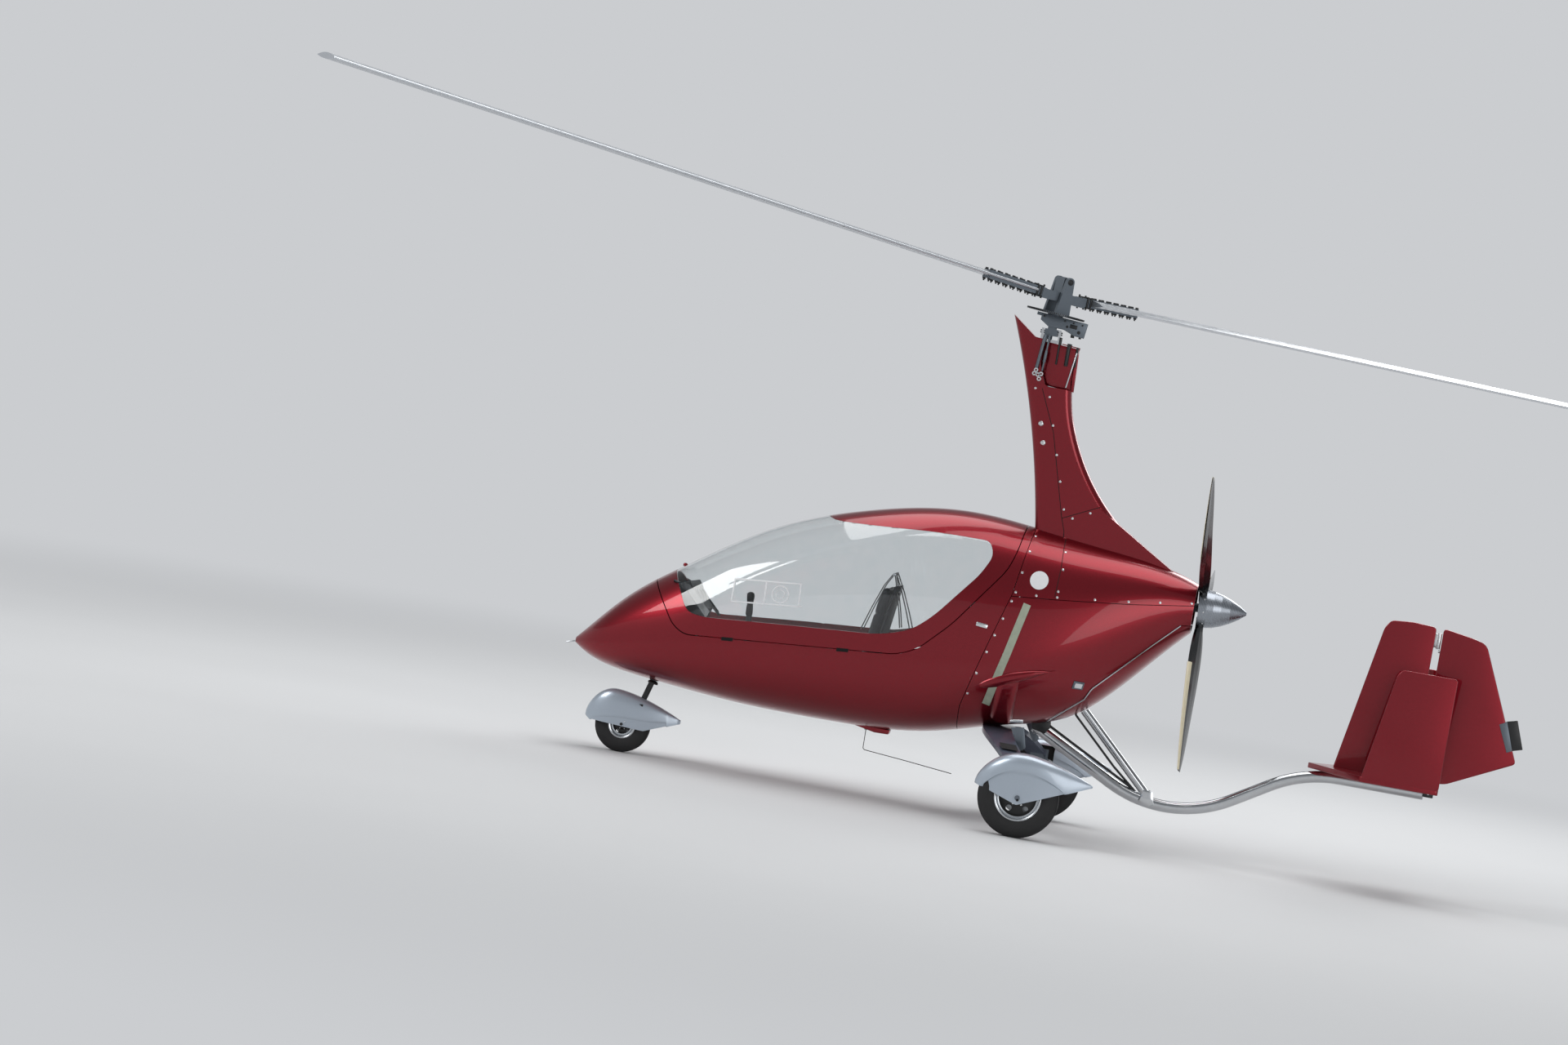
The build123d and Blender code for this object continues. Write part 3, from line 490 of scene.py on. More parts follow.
def turned(name, rings, sides=64, filled=True):
    """Turned piece about Z: a ring drawn out and scaled from one radius, height to the next, in mm."""
    radius, height = rings[0]
    bpy.ops.mesh.primitive_circle_add(vertices=sides, radius=radius / 1000, location=(0, 0, height / 1000))
    bpy.ops.object.mode_set(mode="EDIT")
    bpy.ops.mesh.select_all(action="SELECT")
    for next_radius, next_height in rings[1:]:
        step = (0, 0, (next_height - height) / 1000)
        bpy.ops.mesh.extrude_edges_move(TRANSFORM_OT_translate={"value": step})
        share = next_radius / radius
        bpy.ops.transform.resize(value=(share, share, 1), center_override=(0, 0, next_height / 1000))
        radius, height = next_radius, next_height
    bpy.ops.mesh.select_all(action="SELECT")
    bpy.ops.mesh.remove_doubles(threshold=0.00001)
    if filled:
        bpy.ops.mesh.fill_holes(sides=sides)
    bpy.ops.mesh.normals_make_consistent(inside=False)
    bpy.ops.object.mode_set(mode="OBJECT")
    return named(name)


def plate(name, points, near, far, edge=1.5, segments=2, flat=False):
    """Plate of an x, z outline between two y values, or of an x, y outline between two z values, in mm."""
    bpy.ops.mesh.primitive_circle_add(vertices=len(points), fill_type="NGON")
    obj = bpy.context.object
    for vertex, (a, b) in zip(obj.data.vertices, points):
        vertex.co = (a / 1000, b / 1000, near / 1000) if flat else (a / 1000, near / 1000, b / 1000)
    depth = (far - near) / 1000
    step = (0, 0, depth) if flat else (0, depth, 0)
    edit_whole(obj, bpy.ops.mesh.extrude_region_move, TRANSFORM_OT_translate={"value": step})
    outward(obj)
    obj = named(name)
    return edged(obj, edge, segments, 25) if edge else obj


def prism(points, near=-700, far=700):
    """Block across the fuselage from a side outline, to cut with."""
    return plate("prism", points, near, far, 0)


def curtain(points, width=3.2, near=-700, far=700):
    """Thin wall along a side line, for a seam."""
    left, right = [], []
    for i, (x, z) in enumerate(points):
        ax, az = points[max(i - 1, 0)]
        bx, bz = points[min(i + 1, len(points) - 1)]
        length = hypot(bx - ax, bz - az)
        nx, nz = -(bz - az) / length * width / 2, (bx - ax) / length * width / 2
        left.append((x + nx, z + nz))
        right.append((x - nx, z - nz))
    return prism(left + right[::-1], near, far)


def sheet_over(name, across, along, spot, wall=0.0, closed=False):
    """Grid whose points are laid by spot(u, v), u and v from 0 to 1, in metres; wall in mm. Edges and
    poles that meet are merged where it is closed."""
    bpy.ops.mesh.primitive_grid_add(x_subdivisions=across, y_subdivisions=along, size=1)
    obj = named(name)
    for vertex in obj.data.vertices:
        vertex.co = spot(vertex.co.x + 0.5, vertex.co.y + 0.5)
    if closed:
        merged(obj)
    if wall:
        modifier = obj.modifiers.new("wall", "SOLIDIFY")
        modifier.thickness = wall / 1000
        modifier.offset = -1
        apply_all(obj)
    return outward(obj)


def joined(name, pieces):
    """Several meshes made one."""
    for piece in pieces:
        piece.select_set(True)
    bpy.context.view_layer.objects.active = pieces[0]
    bpy.ops.object.join()
    pieces[0].name = name
    pieces[0].select_set(False)
    return pieces[0]


def moved(obj, matrix):
    """Takes a placement in metres into the mesh."""
    obj.data.transform(matrix)
    if matrix.determinant() < 0:
        obj.data.flip_normals()
    obj.data.update()
    return obj


def repeated(name, model, matrices):
    """One mesh of copies of a model, each at its own placement."""
    bpy.context.view_layer.update()
    pieces = [moved(copy_of(model, name), matrix) for matrix in matrices]
    bpy.data.objects.remove(model)
    return joined(name, pieces)


def wire(name, points, radius):
    """Smooth round wire through points in mm."""
    curve = bpy.data.curves.new(name, "CURVE")
    curve.dimensions = "3D"
    curve.bevel_depth = radius / 1000
    curve.bevel_resolution = 4
    curve.use_fill_caps = True
    line = curve.splines.new("POLY")
    line.points.add(len(points) - 1)
    for point, spot in zip(line.points, points):
        point.co = (*[c / 1000 for c in spot], 1)
    obj = bpy.data.objects.new(name, curve)
    bpy.context.scene.collection.objects.link(obj)
    obj.select_set(True)
    bpy.context.view_layer.objects.active = obj
    bpy.ops.object.convert(target="MESH")
    return named(name)


# Fuselage
# x, half width, lowest z, z of the widest line, highest z
HULL_STATIONS = (
    (-2111, 14, 510, 523, 537), (-2048, 92, 470, 535, 610), (-1900, 190, 422, 560, 775),
    (-1650, 285, 390, 610, 975), (-1250, 358, 358, 680, 1240), (-750, 388, 352, 740, 1437),
    (-250, 388, 392, 790, 1524), (152, 358, 500, 870, 1497), (452, 300, 600, 1010, 1464),
    (752, 215, 885, 1180, 1426), (962, 150, 1116, 1240, 1366),
)
FULLNESS = 0.6
WALL, CANOPY_WALL, GLASS = 10.0, 14.0, 5.0
QUARTERS = ((1, 1), (-1, 1), (-1, -1), (1, -1))  # side and way up of each quarter of a section, in turn


def spline(xs, ys):
    """Smooth curve through points; returns a function."""
    xs, ys = np.array(xs, float), np.array(ys, float)
    n = len(xs)
    h = np.diff(xs)
    system, right = np.zeros((n, n)), np.zeros(n)
    system[0, 0], system[0, 1], system[0, 2] = h[1], -(h[0] + h[1]), h[0]
    system[-1, -3], system[-1, -2], system[-1, -1] = h[-1], -(h[-2] + h[-1]), h[-2]
    for i in range(1, n - 1):
        system[i, i - 1:i + 2] = h[i - 1], 2 * (h[i - 1] + h[i]), h[i]
        right[i] = 6 * ((ys[i + 1] - ys[i]) / h[i] - (ys[i] - ys[i - 1]) / h[i - 1])
    bend = np.linalg.solve(system, right)

    def value(x):
        i = min(max(int(np.searchsorted(xs, x)) - 1, 0), n - 2)
        a, b = xs[i + 1] - x, x - xs[i]
        return float((bend[i] * a ** 3 + bend[i + 1] * b ** 3) / (6 * h[i])
                     + (ys[i] / h[i] - bend[i] * h[i] / 6) * a
                     + (ys[i + 1] / h[i] - bend[i + 1] * h[i] / 6) * b)
    return value


STATION_X = [row[0] for row in HULL_STATIONS]
HALF, LOW, WIDE, HIGH = (spline(STATION_X, [row[k] for row in HULL_STATIONS]) for k in (1, 2, 3, 4))


def section(x, inset=0.0):
    """Half width, lowest z, z of the widest line and highest z at x."""
    return HALF(x) - inset, LOW(x) + inset, WIDE(x), HIGH(x) - inset


def quarter(t):
    """Share of the half width and of the height along a quarter of the section."""
    out = (1 - t) ** 3 + 3 * (1 - t) ** 2 * t + 3 * (1 - t) * t * t * FULLNESS
    up = 3 * (1 - t) ** 2 * t * FULLNESS + 3 * (1 - t) * t * t + t ** 3
    return out, up


def hull(name, inset=0.0, rows=260, ring=104):
    """The fuselage's outer form, or the same drawn in by a wall, in mm."""
    first = STATION_X[1] if inset >= WALL else STATION_X[0]
    crowding = 1.0 if inset else 1.25  # the outer form has more rows near the nose

    def spot(u, v):
        along, around = round(u * rows) / rows, round(v * ring) / ring * 4
        x = first + (STATION_X[-1] - first) * along ** crowding
        half, low, wide, high = section(x, inset)
        index = min(int(around), 3)
        side, way = QUARTERS[index]
        out, up = quarter(around - index if index % 2 == 0 else index + 1 - around)
        tip = high if way > 0 else low
        return Vector((x, side * half * out, wide + up * (tip - wide))) / 1000
    tube = sheet_over(name, rows, ring, spot, closed=True)
    return outward(edit_whole(tube, bpy.ops.mesh.fill_holes, sides=ring))


def on_skin(x, z, side=-1, lift=0.0):
    """Point of the skin at x, z in mm, with its normal, in metres."""
    half, low, wide, high = section(x)
    tip = high if z > wide else low
    goal = (z - wide) / (tip - wide)
    a, b = 0.0, 1.0
    for _ in range(30):
        m = (a + b) / 2
        if quarter(m)[1] < goal:
            a = m
        else:
            b = m

    def spot(x, t):
        half, low, wide, high = section(x)
        out, up = quarter(t)
        tip_z = high if z > wide else low
        return Vector((x, side * half * out, wide + up * (tip_z - wide)))
    here = spot(x, a)
    along = spot(x + 4, a) - spot(x - 4, a)
    around = spot(x, min(a + 0.01, 1)) - spot(x, max(a - 0.01, 0))
    normal = along.cross(around).normalized()
    if normal.y * side < 0:
        normal = -normal
    return (here + normal * lift) / 1000, normal


EYE = Vector((2.08, -27.915, 2.119))


def seen(x_grid, z_grid):
    """x, z on the port skin of what the photograph shows at x_grid, z_grid of the mid plane, mm."""
    x, z = x_grid, z_grid
    for _ in range(6):
        y = abs(on_skin(x, z)[0].y)
        share = y / -EYE.y
        x = x_grid + share * (EYE.x * 1000 - x_grid)
        z = z_grid + share * (EYE.z * 1000 - z_grid)
    return x, z


CANOPY_LINE = [
    (-1748, 905), (-1598, 700), (-1528, 662), (-448, 760), (-348, 805), (-198, 960),
    (22, 1270), (52, 1370), (67, 1500), (87, 1600), (-1948, 1600), (-1948, 1100),
]
WINDOW_LINE = [
    (-1678, 1010), (-1598, 880), (-1538, 780), (-1448, 768), (-1048, 805), (-548, 845),
    (-398, 895), (-298, 985), (-108, 1230), (-63, 1330), (-93, 1400), (-348, 1398),
    (-748, 1368), (-958, 1360), (-1008, 1600), (-1948, 1600), (-1948, 1100),
]
TUB_REAR = [(107, 1700), (107, 1480), (67, 1160), (2, 930), (-98, 560), (-118, 250)]
WEDGE_SEAM = [(322, 400), (322, 545), (502, 700), (532, 760), (802, 1040), (912, 1150), (1052, 1165)]
UPPER_SEAM = [(20, 1146), (282, 1170), (652, 1212), (1052, 1272)]
SEAM_HALF = 1.6

outer = hull("hull_outer")
shell = boolean(copy_of(outer, "shell"), hull("hull_inner", WALL))
shell = boolean(shell, prism(softened(CANOPY_LINE, 60)))
for line in (TUB_REAR, WEDGE_SEAM):
    shell = boolean(shell, curtain(line))
wedge_zone = prism(WEDGE_SEAM + [(1052, 380)])
rear_zone = prism([(x + SEAM_HALF, z) for x, z in TUB_REAR] + [(1500, 250), (1500, 1700)])
upper_zone = prism(UPPER_SEAM + [(1052, 1700), (20, 1700)])
tub = boolean(copy_of(shell, "tub"), rear_zone, keep=True)
cowls = boolean(shell, rear_zone, "INTERSECT")
wedge = boolean(copy_of(cowls, "wedge"), wedge_zone, "INTERSECT", keep=True)
cowls = boolean(cowls, wedge_zone)
cowls = boolean(cowls, curtain(UPPER_SEAM))
upper = boolean(copy_of(cowls, "upper_cowl"), upper_zone, "INTERSECT", keep=True)
lower = boolean(cowls, upper_zone)
REAR_BOX = [(-300, 200), (1200, 200), (1200, 1700), (-300, 1700)]
port = boolean(copy_of(lower, "port_cowl"), prism(REAR_BOX, 0.5, 700))
starboard = boolean(lower, prism(REAR_BOX, -700, -0.5))
for obj, node in ((tub, "fuselage_tub"), (wedge, "exhaust_wedge"), (upper, "cowl_upper"),
                  (port, "cowl_port"), (starboard, "cowl_starboard")):
    place(obj, RED, "airframe", node)

# Canopy: a frame with its window cut, and the glass in it
canopy_zone = prism(softened(grown(CANOPY_LINE, -5), 56))
canopy_frame = boolean(copy_of(outer, "canopy_shell"), hull("hull_canopy", CANOPY_WALL))
canopy_frame = boolean(canopy_frame, canopy_zone, "INTERSECT", keep=True)
canopy_frame = boolean(canopy_frame, prism(softened(WINDOW_LINE, 90)))
place(canopy_frame, RED, "canopy", "canopy_frame")
glass = boolean(copy_of(outer, "canopy_bubble"), hull("hull_glass", GLASS))
glass = boolean(glass, prism(softened(grown(WINDOW_LINE, -0.6), 90)), "INTERSECT")
glass = boolean(glass, canopy_zone, "INTERSECT")
place(glass, ACRYLIC, "canopy", "canopy_glass")
bpy.data.objects.remove(outer)

# Pieces that lie on the skin
SIDES = {-1: "port", 1: "starboard"}
FLIP = Matrix.Scale(-1, 4, (0, 1, 0))  # port to starboard


def span(side, inner, outer):
    """Low and high y of what lies between two distances from the middle plane."""
    return sorted((side * inner, side * outer))


def both_sides(obj):
    """The piece and its mirror image, as one mesh."""
    twin = moved(copy_of(obj, "twin"), FLIP)
    return joined(obj.name, [obj, twin])


def on_line(line, share):
    """Point at a share of a side line's length."""
    steps = [hypot(b[0] - a[0], b[1] - a[1]) for a, b in zip(line, line[1:])]
    reach = share * sum(steps)
    for (a, b), step in zip(zip(line, line[1:]), steps):
        if reach <= step:
            break
        reach -= step
    t = min(reach / step, 1.0)
    return a[0] + (b[0] - a[0]) * t, a[1] + (b[1] - a[1]) * t


def skin_ribbon(name, line, width, lift, wall, rows=40, side=-1):
    """Strip that lies on the skin along a side line, in mm."""
    def spot(u, v):
        x, z = on_line(line, v)
        ax, az = on_line(line, max(v - 0.01, 0))
        bx, bz = on_line(line, min(v + 0.01, 1))
        length = hypot(bx - ax, bz - az)
        off = (u - 0.5) * width
        return on_skin(x - (bz - az) / length * off, z + (bx - ax) / length * off, side, lift)[0]
    return sheet_over(name, 4, rows, spot, wall)


def screw_model():
    """Low domed head of 13 mm, its foot at the origin."""
    return turned("screw_model", [(6.5, -1), (6.5, 0.8), (5.2, 2.2), (2.6, 2.9), (0.05, 3.0)], 16)


def at_skin(x, z, side=-1, lift=0.0, scale=1.0):
    """Placement on the skin with Z along its normal."""
    spot, normal = on_skin(x, z, side, lift)
    turn = normal.to_track_quat("Z", "Y").to_matrix().to_4x4()
    return Matrix.Translation(spot) @ turn @ Matrix.Scale(scale, 4)


# Cowl screws: up the front edge, along the upper seam and up the edge of the engine bay's lid
FRONT_EDGE_SCREWS = (1462, 1383, 1274, 1173, 1126, 1033, 944, 855, 741, 633)  # heights
UPPER_SEAM_SCREWS = (0.16, 0.26, 0.44, 0.60, 0.75, 0.90)  # shares of the seam's length
LID_SEAM = [(277, 1184), (279, 1330), (266, 1474)]
LID_SCREWS = (0.10, 0.48, 0.78)  # shares of the seam's length
SCREW_OFF, LID_SCREW_OFF = 13, 11  # from the seam to the screws
edge_x, edge_z = zip(*TUB_REAR[::-1])
spots = [(float(np.interp(height, edge_z, edge_x)) + SCREW_OFF, height) for height in FRONT_EDGE_SCREWS]
for share in UPPER_SEAM_SCREWS:
    x, z = on_line(UPPER_SEAM, share)
    spots.append((x, z + SCREW_OFF))
for share in LID_SCREWS:
    x, z = on_line(LID_SEAM, share)
    spots.append((x + LID_SCREW_OFF, z))
heads = [at_skin(x, z, side) for x, z in spots for side in SIDES]
place(repeated("cowl_screws", screw_model(), heads), SCREW, "airframe")
# The lid's seam is a dark ribbon lying on the skin: painted shadow in its gap.
place(both_sides(skin_ribbon("lid_seam_shadow", LID_SEAM, 3.0, 0.35, 0.6, 30)), SEAM, "airframe")

# Riveted strip over the gear frame, both sides
STRIP_LINE = [seen(127, 1112), seen(68, 840), seen(7, 570)]
STRIP_WIDTH, RIVET_ROWS, RIVET_OFF, RIVET_SCALE = 38, 15, 13, 0.42
strip = skin_ribbon("frame_strip", STRIP_LINE, STRIP_WIDTH, 2.2, 2.6, 60)
place(both_sides(strip), STRIP, "airframe")
rivets = []
for k in range(RIVET_ROWS):
    x, z = on_line(STRIP_LINE, (k + 0.5) / RIVET_ROWS)
    for off in (-RIVET_OFF, RIVET_OFF):
        rivets += [at_skin(x + off, z, side, 2.0, RIVET_SCALE) for side in SIDES]
place(repeated("strip_rivets", screw_model(), rivets), STRIP, "airframe")

# Blank round disc
DISC_CENTRE, DISC_RADIUS = seen(165, 1242), 46.0


def disc_spot(u, v):
    """u goes round the disc, v out from its middle."""
    x = DISC_CENTRE[0] + DISC_RADIUS * v * cos(2 * pi * u)
    z = DISC_CENTRE[1] + DISC_RADIUS * v * sin(2 * pi * u)
    return on_skin(x, z, -1, 0.5)[0]


place(sheet_over("round_disc", 24, 24, disc_spot, 0.4, closed=True), WHITE, "airframe")

# Canopy lock and side lamps
LOCK_CENTRE, LOCK_TURN = seen(-81, 967), -96
lock = block("canopy_lock", (-11, -30, -2), (11, 30, 7), 6)
place(moved(lock, at_skin(*LOCK_CENTRE) @ swing(LOCK_TURN)), SCREW, "airframe")
LAMP_CENTRE = seen(452, 755)
for side, label in SIDES.items():
    socket = block(f"side_lamp_{label}", (-30, -22, -3), (30, 22, 5), 4)
    place(moved(socket, at_skin(*LAMP_CENTRE, side)), ANODISED, "airframe")
    lens = block(f"side_lamp_lens_{label}", (-20, -13, 3), (20, 13, 9), 5)
    place(moved(lens, at_skin(*LAMP_CENTRE, side)), WHITE, "airframe")

# Latch notches in the port sill seam, and canopy hinges across from them: x, z, half length
NOTCHES = ((-1304, 682, 29), (-718, 735, 30))
NOTCH_RISE, SILL_SLOPE = 9, 0.09
for index, (x, z, half) in enumerate(NOTCHES, 1):
    def notch_spot(u, v):
        off = (2 * u - 1) * half
        return on_skin(x + off, z + NOTCH_RISE * (2 * v - 1) + off * SILL_SLOPE, -1, 0.5)[0]
    # Each notch is a thin dark sheet on the skin: painted shadow of the notch's recess.
    place(sheet_over(f"latch_notch_shadow_{index}", 12, 4, notch_spot, 0.5), SEAM, "canopy")
    hinge = bar(f"canopy_hinge_{index}", (-half, 0, 0), (half, 0, 0), 7)
    spot, normal = on_skin(x, z - 2, 1, 5)
    place(moved(hinge, Matrix.Translation(spot)), BLACK, "airframe")

# Saddle over the gear bow's root: a swept blade with a column that runs down to the bow
SADDLE_LINE = [(-12, 694), (145, 762), (240, 800), (355, 838)]


def saddle_blade(u, v):
    """v runs aft along the blade, u up across it."""
    x, z = on_line(SADDLE_LINE, v)
    half = 34 * sin(pi * min(1, v * 1.1 + 0.02)) ** 0.6 * (1 - 0.55 * v) + 1
    bulge = 20 * (1 - (2 * u - 1) ** 2) ** 0.7 * sin(pi * min(0.98, 0.03 + v)) ** 0.6
    return on_skin(x + 0.35 * half * (1 - 2 * u), z + half * (2 * u - 1) - 12, -1, bulge)[0]


def saddle_column(u, v):
    """v runs from the blade down to the bow, u from front to rear."""
    x = 72 + 108 * u - 14 * v
    z = 742 - 205 * v + 14 * u * (1 - v)
    bulge = (8 + 24 * v) * (1 - (2 * u - 1) ** 4) + 1
    return on_skin(x, z, -1, bulge)[0]


place(both_sides(sheet_over("gear_root_blades", 14, 40, saddle_blade)), RED, "airframe")
place(both_sides(sheet_over("gear_root_columns", 20, 24, saddle_column)), RED, "airframe")

# Bright edge of the exhaust bay
bay_edge = skin_ribbon("exhaust_bay_edge", WEDGE_SEAM[1:-1], 5, 2.0, 2.0, 60)
place(both_sides(bay_edge), BRIGHT, "airframe")

# Belly: flat box and whip aerial
BELLY_LINE = [(-658, 362), (-443, 362), (-448, 338), (-520, 336)]
AERIAL_LINE = [(-568, 0, 358), (-566, 0, 246), (-558, 0, 238), (-330, 0, 220), (-101, 0, 199)]
place(plate("belly_housing", BELLY_LINE, -45, 45, 4), RED, "airframe")
place(wire("whip_aerial", AERIAL_LINE, 2.0), BLACK, "airframe")
place(bar("aerial_foot", (-568, 0, 366), (-567, 0, 340), 9), BLACK, "airframe")

# Nose probe and canopy knob
KNOB_X, KNOB_SINK = -1623, 2
place(bar("nose_probe", (-2100, 0, 519), (-2158, 0, 503), 4), BRIGHT, "airframe")
knob = turned("canopy_knob", [(12, 0), (12, 9), (9, 14), (4, 16), (0.1, 16)], 24)
place(moved(knob, shift(KNOB_X, 0, HIGH(KNOB_X) - KNOB_SINK)), RED, "canopy")

# Wheels: centres of the starboard main wheel and of the nose wheel
MAIN_WHEEL, NOSE_WHEEL = (305, 780, 200), (-1797, 0, 140)
GROOVE_DEPTH, GROOVE_FOOT, GROOVE_LIP = 4.0, 1.6, 2.2  # tyre grooves: depth, half widths at foot and lip
WINDOWS, RIM_BOLTS = 5, 6


def tyre_outline(radius, half, rim_radius):
    """Ribbed tyre as radius, height rows, closed."""
    wall = radius - rim_radius
    upper = [
        (rim_radius + 0.5, 0.70 * half), (rim_radius + 0.06 * wall, 0.86 * half),
        (rim_radius + 0.20 * wall, 0.97 * half), (rim_radius + 0.42 * wall, half),
        (rim_radius + 0.62 * wall, 0.97 * half), (radius - 0.22 * wall, 0.88 * half),
        (radius - 0.10 * wall, 0.74 * half), (radius - 0.03 * wall, 0.58 * half),
    ]
    foot = radius - GROOVE_DEPTH
    for groove in (0.50 * half, 0.19 * half):
        upper += [
            (radius - 0.4, groove + 4.5), (radius - 0.2, groove + GROOVE_LIP),
            (foot, groove + GROOVE_FOOT), (foot, groove - GROOVE_FOOT), (radius - 0.1, groove - GROOVE_LIP),
        ]
    rings = upper + [(r, -h) for r, h in reversed(upper)]
    return rings + [rings[0]]


def rim_outline(radius, half):
    """Rim with two lips as radius, height rows, closed."""
    return [
        (radius - 8, -0.74 * half), (radius - 2, -0.80 * half), (radius + 3, -0.80 * half),
        (radius + 3, -0.74 * half), (radius - 1, -0.70 * half), (radius - 1, 0.70 * half),
        (radius + 3, 0.76 * half), (radius + 3.5, 0.83 * half), (radius - 1, 0.85 * half),
        (radius - 6, 0.80 * half), (radius - 9, 0.66 * half), (radius - 13, 0.60 * half),
        (radius - 15, 0.66 * half), (radius - 19, 0.64 * half), (radius - 21, 0.54 * half),
        (radius - 12, 0.30 * half), (radius - 10, -0.5 * half), (radius - 8, -0.74 * half),
    ]


def centre_outline(radius, half):
    """Flat centre of a wheel with its hub cap, as radius, height rows."""
    return [
        (0.9, -0.10 * half), (radius - 11, -0.10 * half), (radius - 11, 0.02 * half),
        (radius * 0.40, 0.02 * half), (radius * 0.32, 0.12 * half),
        (radius * 0.28, 0.52 * half), (radius * 0.20, 0.58 * half), (0.9, 0.60 * half),
    ]


def wheel_centre(tag, radius, half):
    """Wheel centre with round windows."""
    centre = turned(f"wheel_centre_{tag}", centre_outline(radius, half), 96)
    for k in range(WINDOWS):
        turn = 2 * pi * (k + 0.3) / WINDOWS
        x, y = radius * 0.62 * cos(turn), radius * 0.62 * sin(turn)
        boolean(centre, bar("window", (x, y, -60), (x, y, 60), radius * 0.13, 20, 0))
    return centre


def rim_bolts(tag, radius, half):
    """Ring of bolts on the wheel centre."""
    bolt = bar("bolt", (0, 0, 0), (0, 0, 7), radius * 0.045, 6, 0.8)
    turns = [2 * pi * k / RIM_BOLTS for k in range(RIM_BOLTS)]
    return repeated(f"rim_bolts_{tag}", bolt, [
        shift(radius * 0.36 * cos(turn), radius * 0.36 * sin(turn), 0.02 * half) for turn in turns])


def wheel_dress(tag, centre, radius, width, rim_radius, body, face):
    """Tyre, rim, centre, bolts and brake disc of a wheel. face is the side that shows its hub cap."""
    half = width / 2
    spot = shift(*centre) @ swing(90 * face, "X")
    tyre = turned(f"ribbed_tyre_{tag}", tyre_outline(radius, half, rim_radius), 96)
    place(moved(tyre, spot), RUBBER, body, f"tyre_{tag}")
    rim = turned(f"wheel_rim_{tag}", rim_outline(rim_radius, half), 96)
    place(moved(rim, spot), BRIGHT, body, f"rim_{tag}")
    # The centre is black: partly its own dark finish, partly painted shade for the shadow deep inside the
    # wheel.
    place(moved(wheel_centre(tag, rim_radius, half), spot), BLACK, body)
    place(moved(rim_bolts(tag, rim_radius, half), spot), SCREW, body)
    reach = rim_radius * 0.72
    disc = turned(f"brake_disc_{tag}", [(30, -1), (reach, -1), (reach, 3), (30, 3), (30, -1)], 64)
    place(moved(disc, spot @ shift(0, 0, -0.78 * half)), SHEET, body)


for side, label in SIDES.items():
    x, y, z = MAIN_WHEEL
    wheel_dress(label, (x, side * y, z), 200, 102, 113, f"main_wheel_{label}", -side)
wheel_dress("nose", NOSE_WHEEL, 140, 85, 66, "nose_wheel", 1)


# Spats
def spat_skin(name, front, top_x, rear, foot, top, tail, half, edge, crease, inset, wall=4.0):
    """Teardrop cover from the wheel centre in mm: a domed top over a flatter side panel below an arched
    crease. edge and crease are side lines of x, z."""
    edge_x, edge_z = zip(*edge)
    crease_x, crease_z = zip(*crease)
    arch = spline(crease_x, crease_z)

    def spot(u, v):
        x = front + 1 + (rear - front - 2) * (0.5 - 0.5 * cos(pi * u))
        if x < top_x:
            share = (top_x - x) / (top_x - front)
            ridge = foot + (top - foot) * (1 - share ** 2) ** 0.62
            wide = half * (1 - share ** 2) ** 0.5
        else:
            share = (x - top_x) / (rear - top_x)
            ridge = top - (top - tail) * share ** 1.6
            wide = half * (1 - share ** 2.1) ** 0.9
        wide = max(wide, 7.0)
        low = float(np.interp(x, edge_x, edge_z))
        bend = low if x <= crease_x[0] or x >= crease_x[-1] else max(low, arch(x))
        bend = min(bend, ridge - 0.35 * (ridge - low))
        side = 1 if v > 0.5 else -1
        w = abs(2 * v - 1)
        if w > 0.5:
            t = (w - 0.5) / 0.5
            step = min(1.0, t / 0.10)
            y = wide - inset * step * min(1, (bend - low) / 30) - 3.0 * t * min(1, (bend - low) / 60)
            z = bend + (low - bend) * t
        else:
            a = radians(90) * (1 - w / 0.5)
            y = wide * cos(a) ** 0.62
            z = bend + (ridge - bend) * sin(a) ** 0.80
        return Vector((x / 1000, side * y / 1000, z / 1000))
    return sheet_over(name, 110, 96, spot, wall)


MAIN_EDGE = [(-260, 49), (0, -36), (400, 133)]
MAIN_CREASE = [(-186, 26), (-130, 85), (-84, 114), (-22, 132), (43, 131), (112, 115), (174, 90), (224, 60)]
NOSE_EDGE = [(-230, 40), (-169, 2), (112, -13), (330, 74)]
NOSE_CREASE = [(-160, 10), (-60, 34), (40, 40), (140, 42), (220, 50)]
for side, label in SIDES.items():
    x, y, z = MAIN_WHEEL
    spat = spat_skin(f"main_spat_{label}", front=-226, top_x=0, rear=352, foot=38, top=217, tail=118, half=80,
                     edge=MAIN_EDGE, crease=MAIN_CREASE, inset=8.0)
    moved(spat, shift(x, side * y, z))
    near, far = span(side, 640, 735)
    boolean(spat, block("notch", (175, near, 250), (352, far, 385), 0), own=True)
    place(spat, SILVER, "airframe", "main_spats")
    place(bar(f"spat_bolt_{label}", (308, side * 848, 190), (308, side * 860, 190), 7, 16),
          BLACK, "airframe")
nose_spat = spat_skin("nose_wheel_spat", front=-200, top_x=-60, rear=290, foot=30, top=175, tail=72, half=66,
                      edge=NOSE_EDGE, crease=NOSE_CREASE, inset=1.0)
place(moved(nose_spat, shift(*NOSE_WHEEL)), SILVER, "nose_leg", "nose_spat")
for side, label in SIDES.items():
    place(bar(f"nose_axle_bolt_{label}", (-1797, side * 56, 144), (-1797, side * 69, 144), 8, 6),
          BLACK, "nose_leg")
    place(bar(f"nose_spat_screw_{label}", (-1783, side * 58, 160), (-1783, side * 66, 160), 3.5, 12),
          SCREW, "nose_leg")

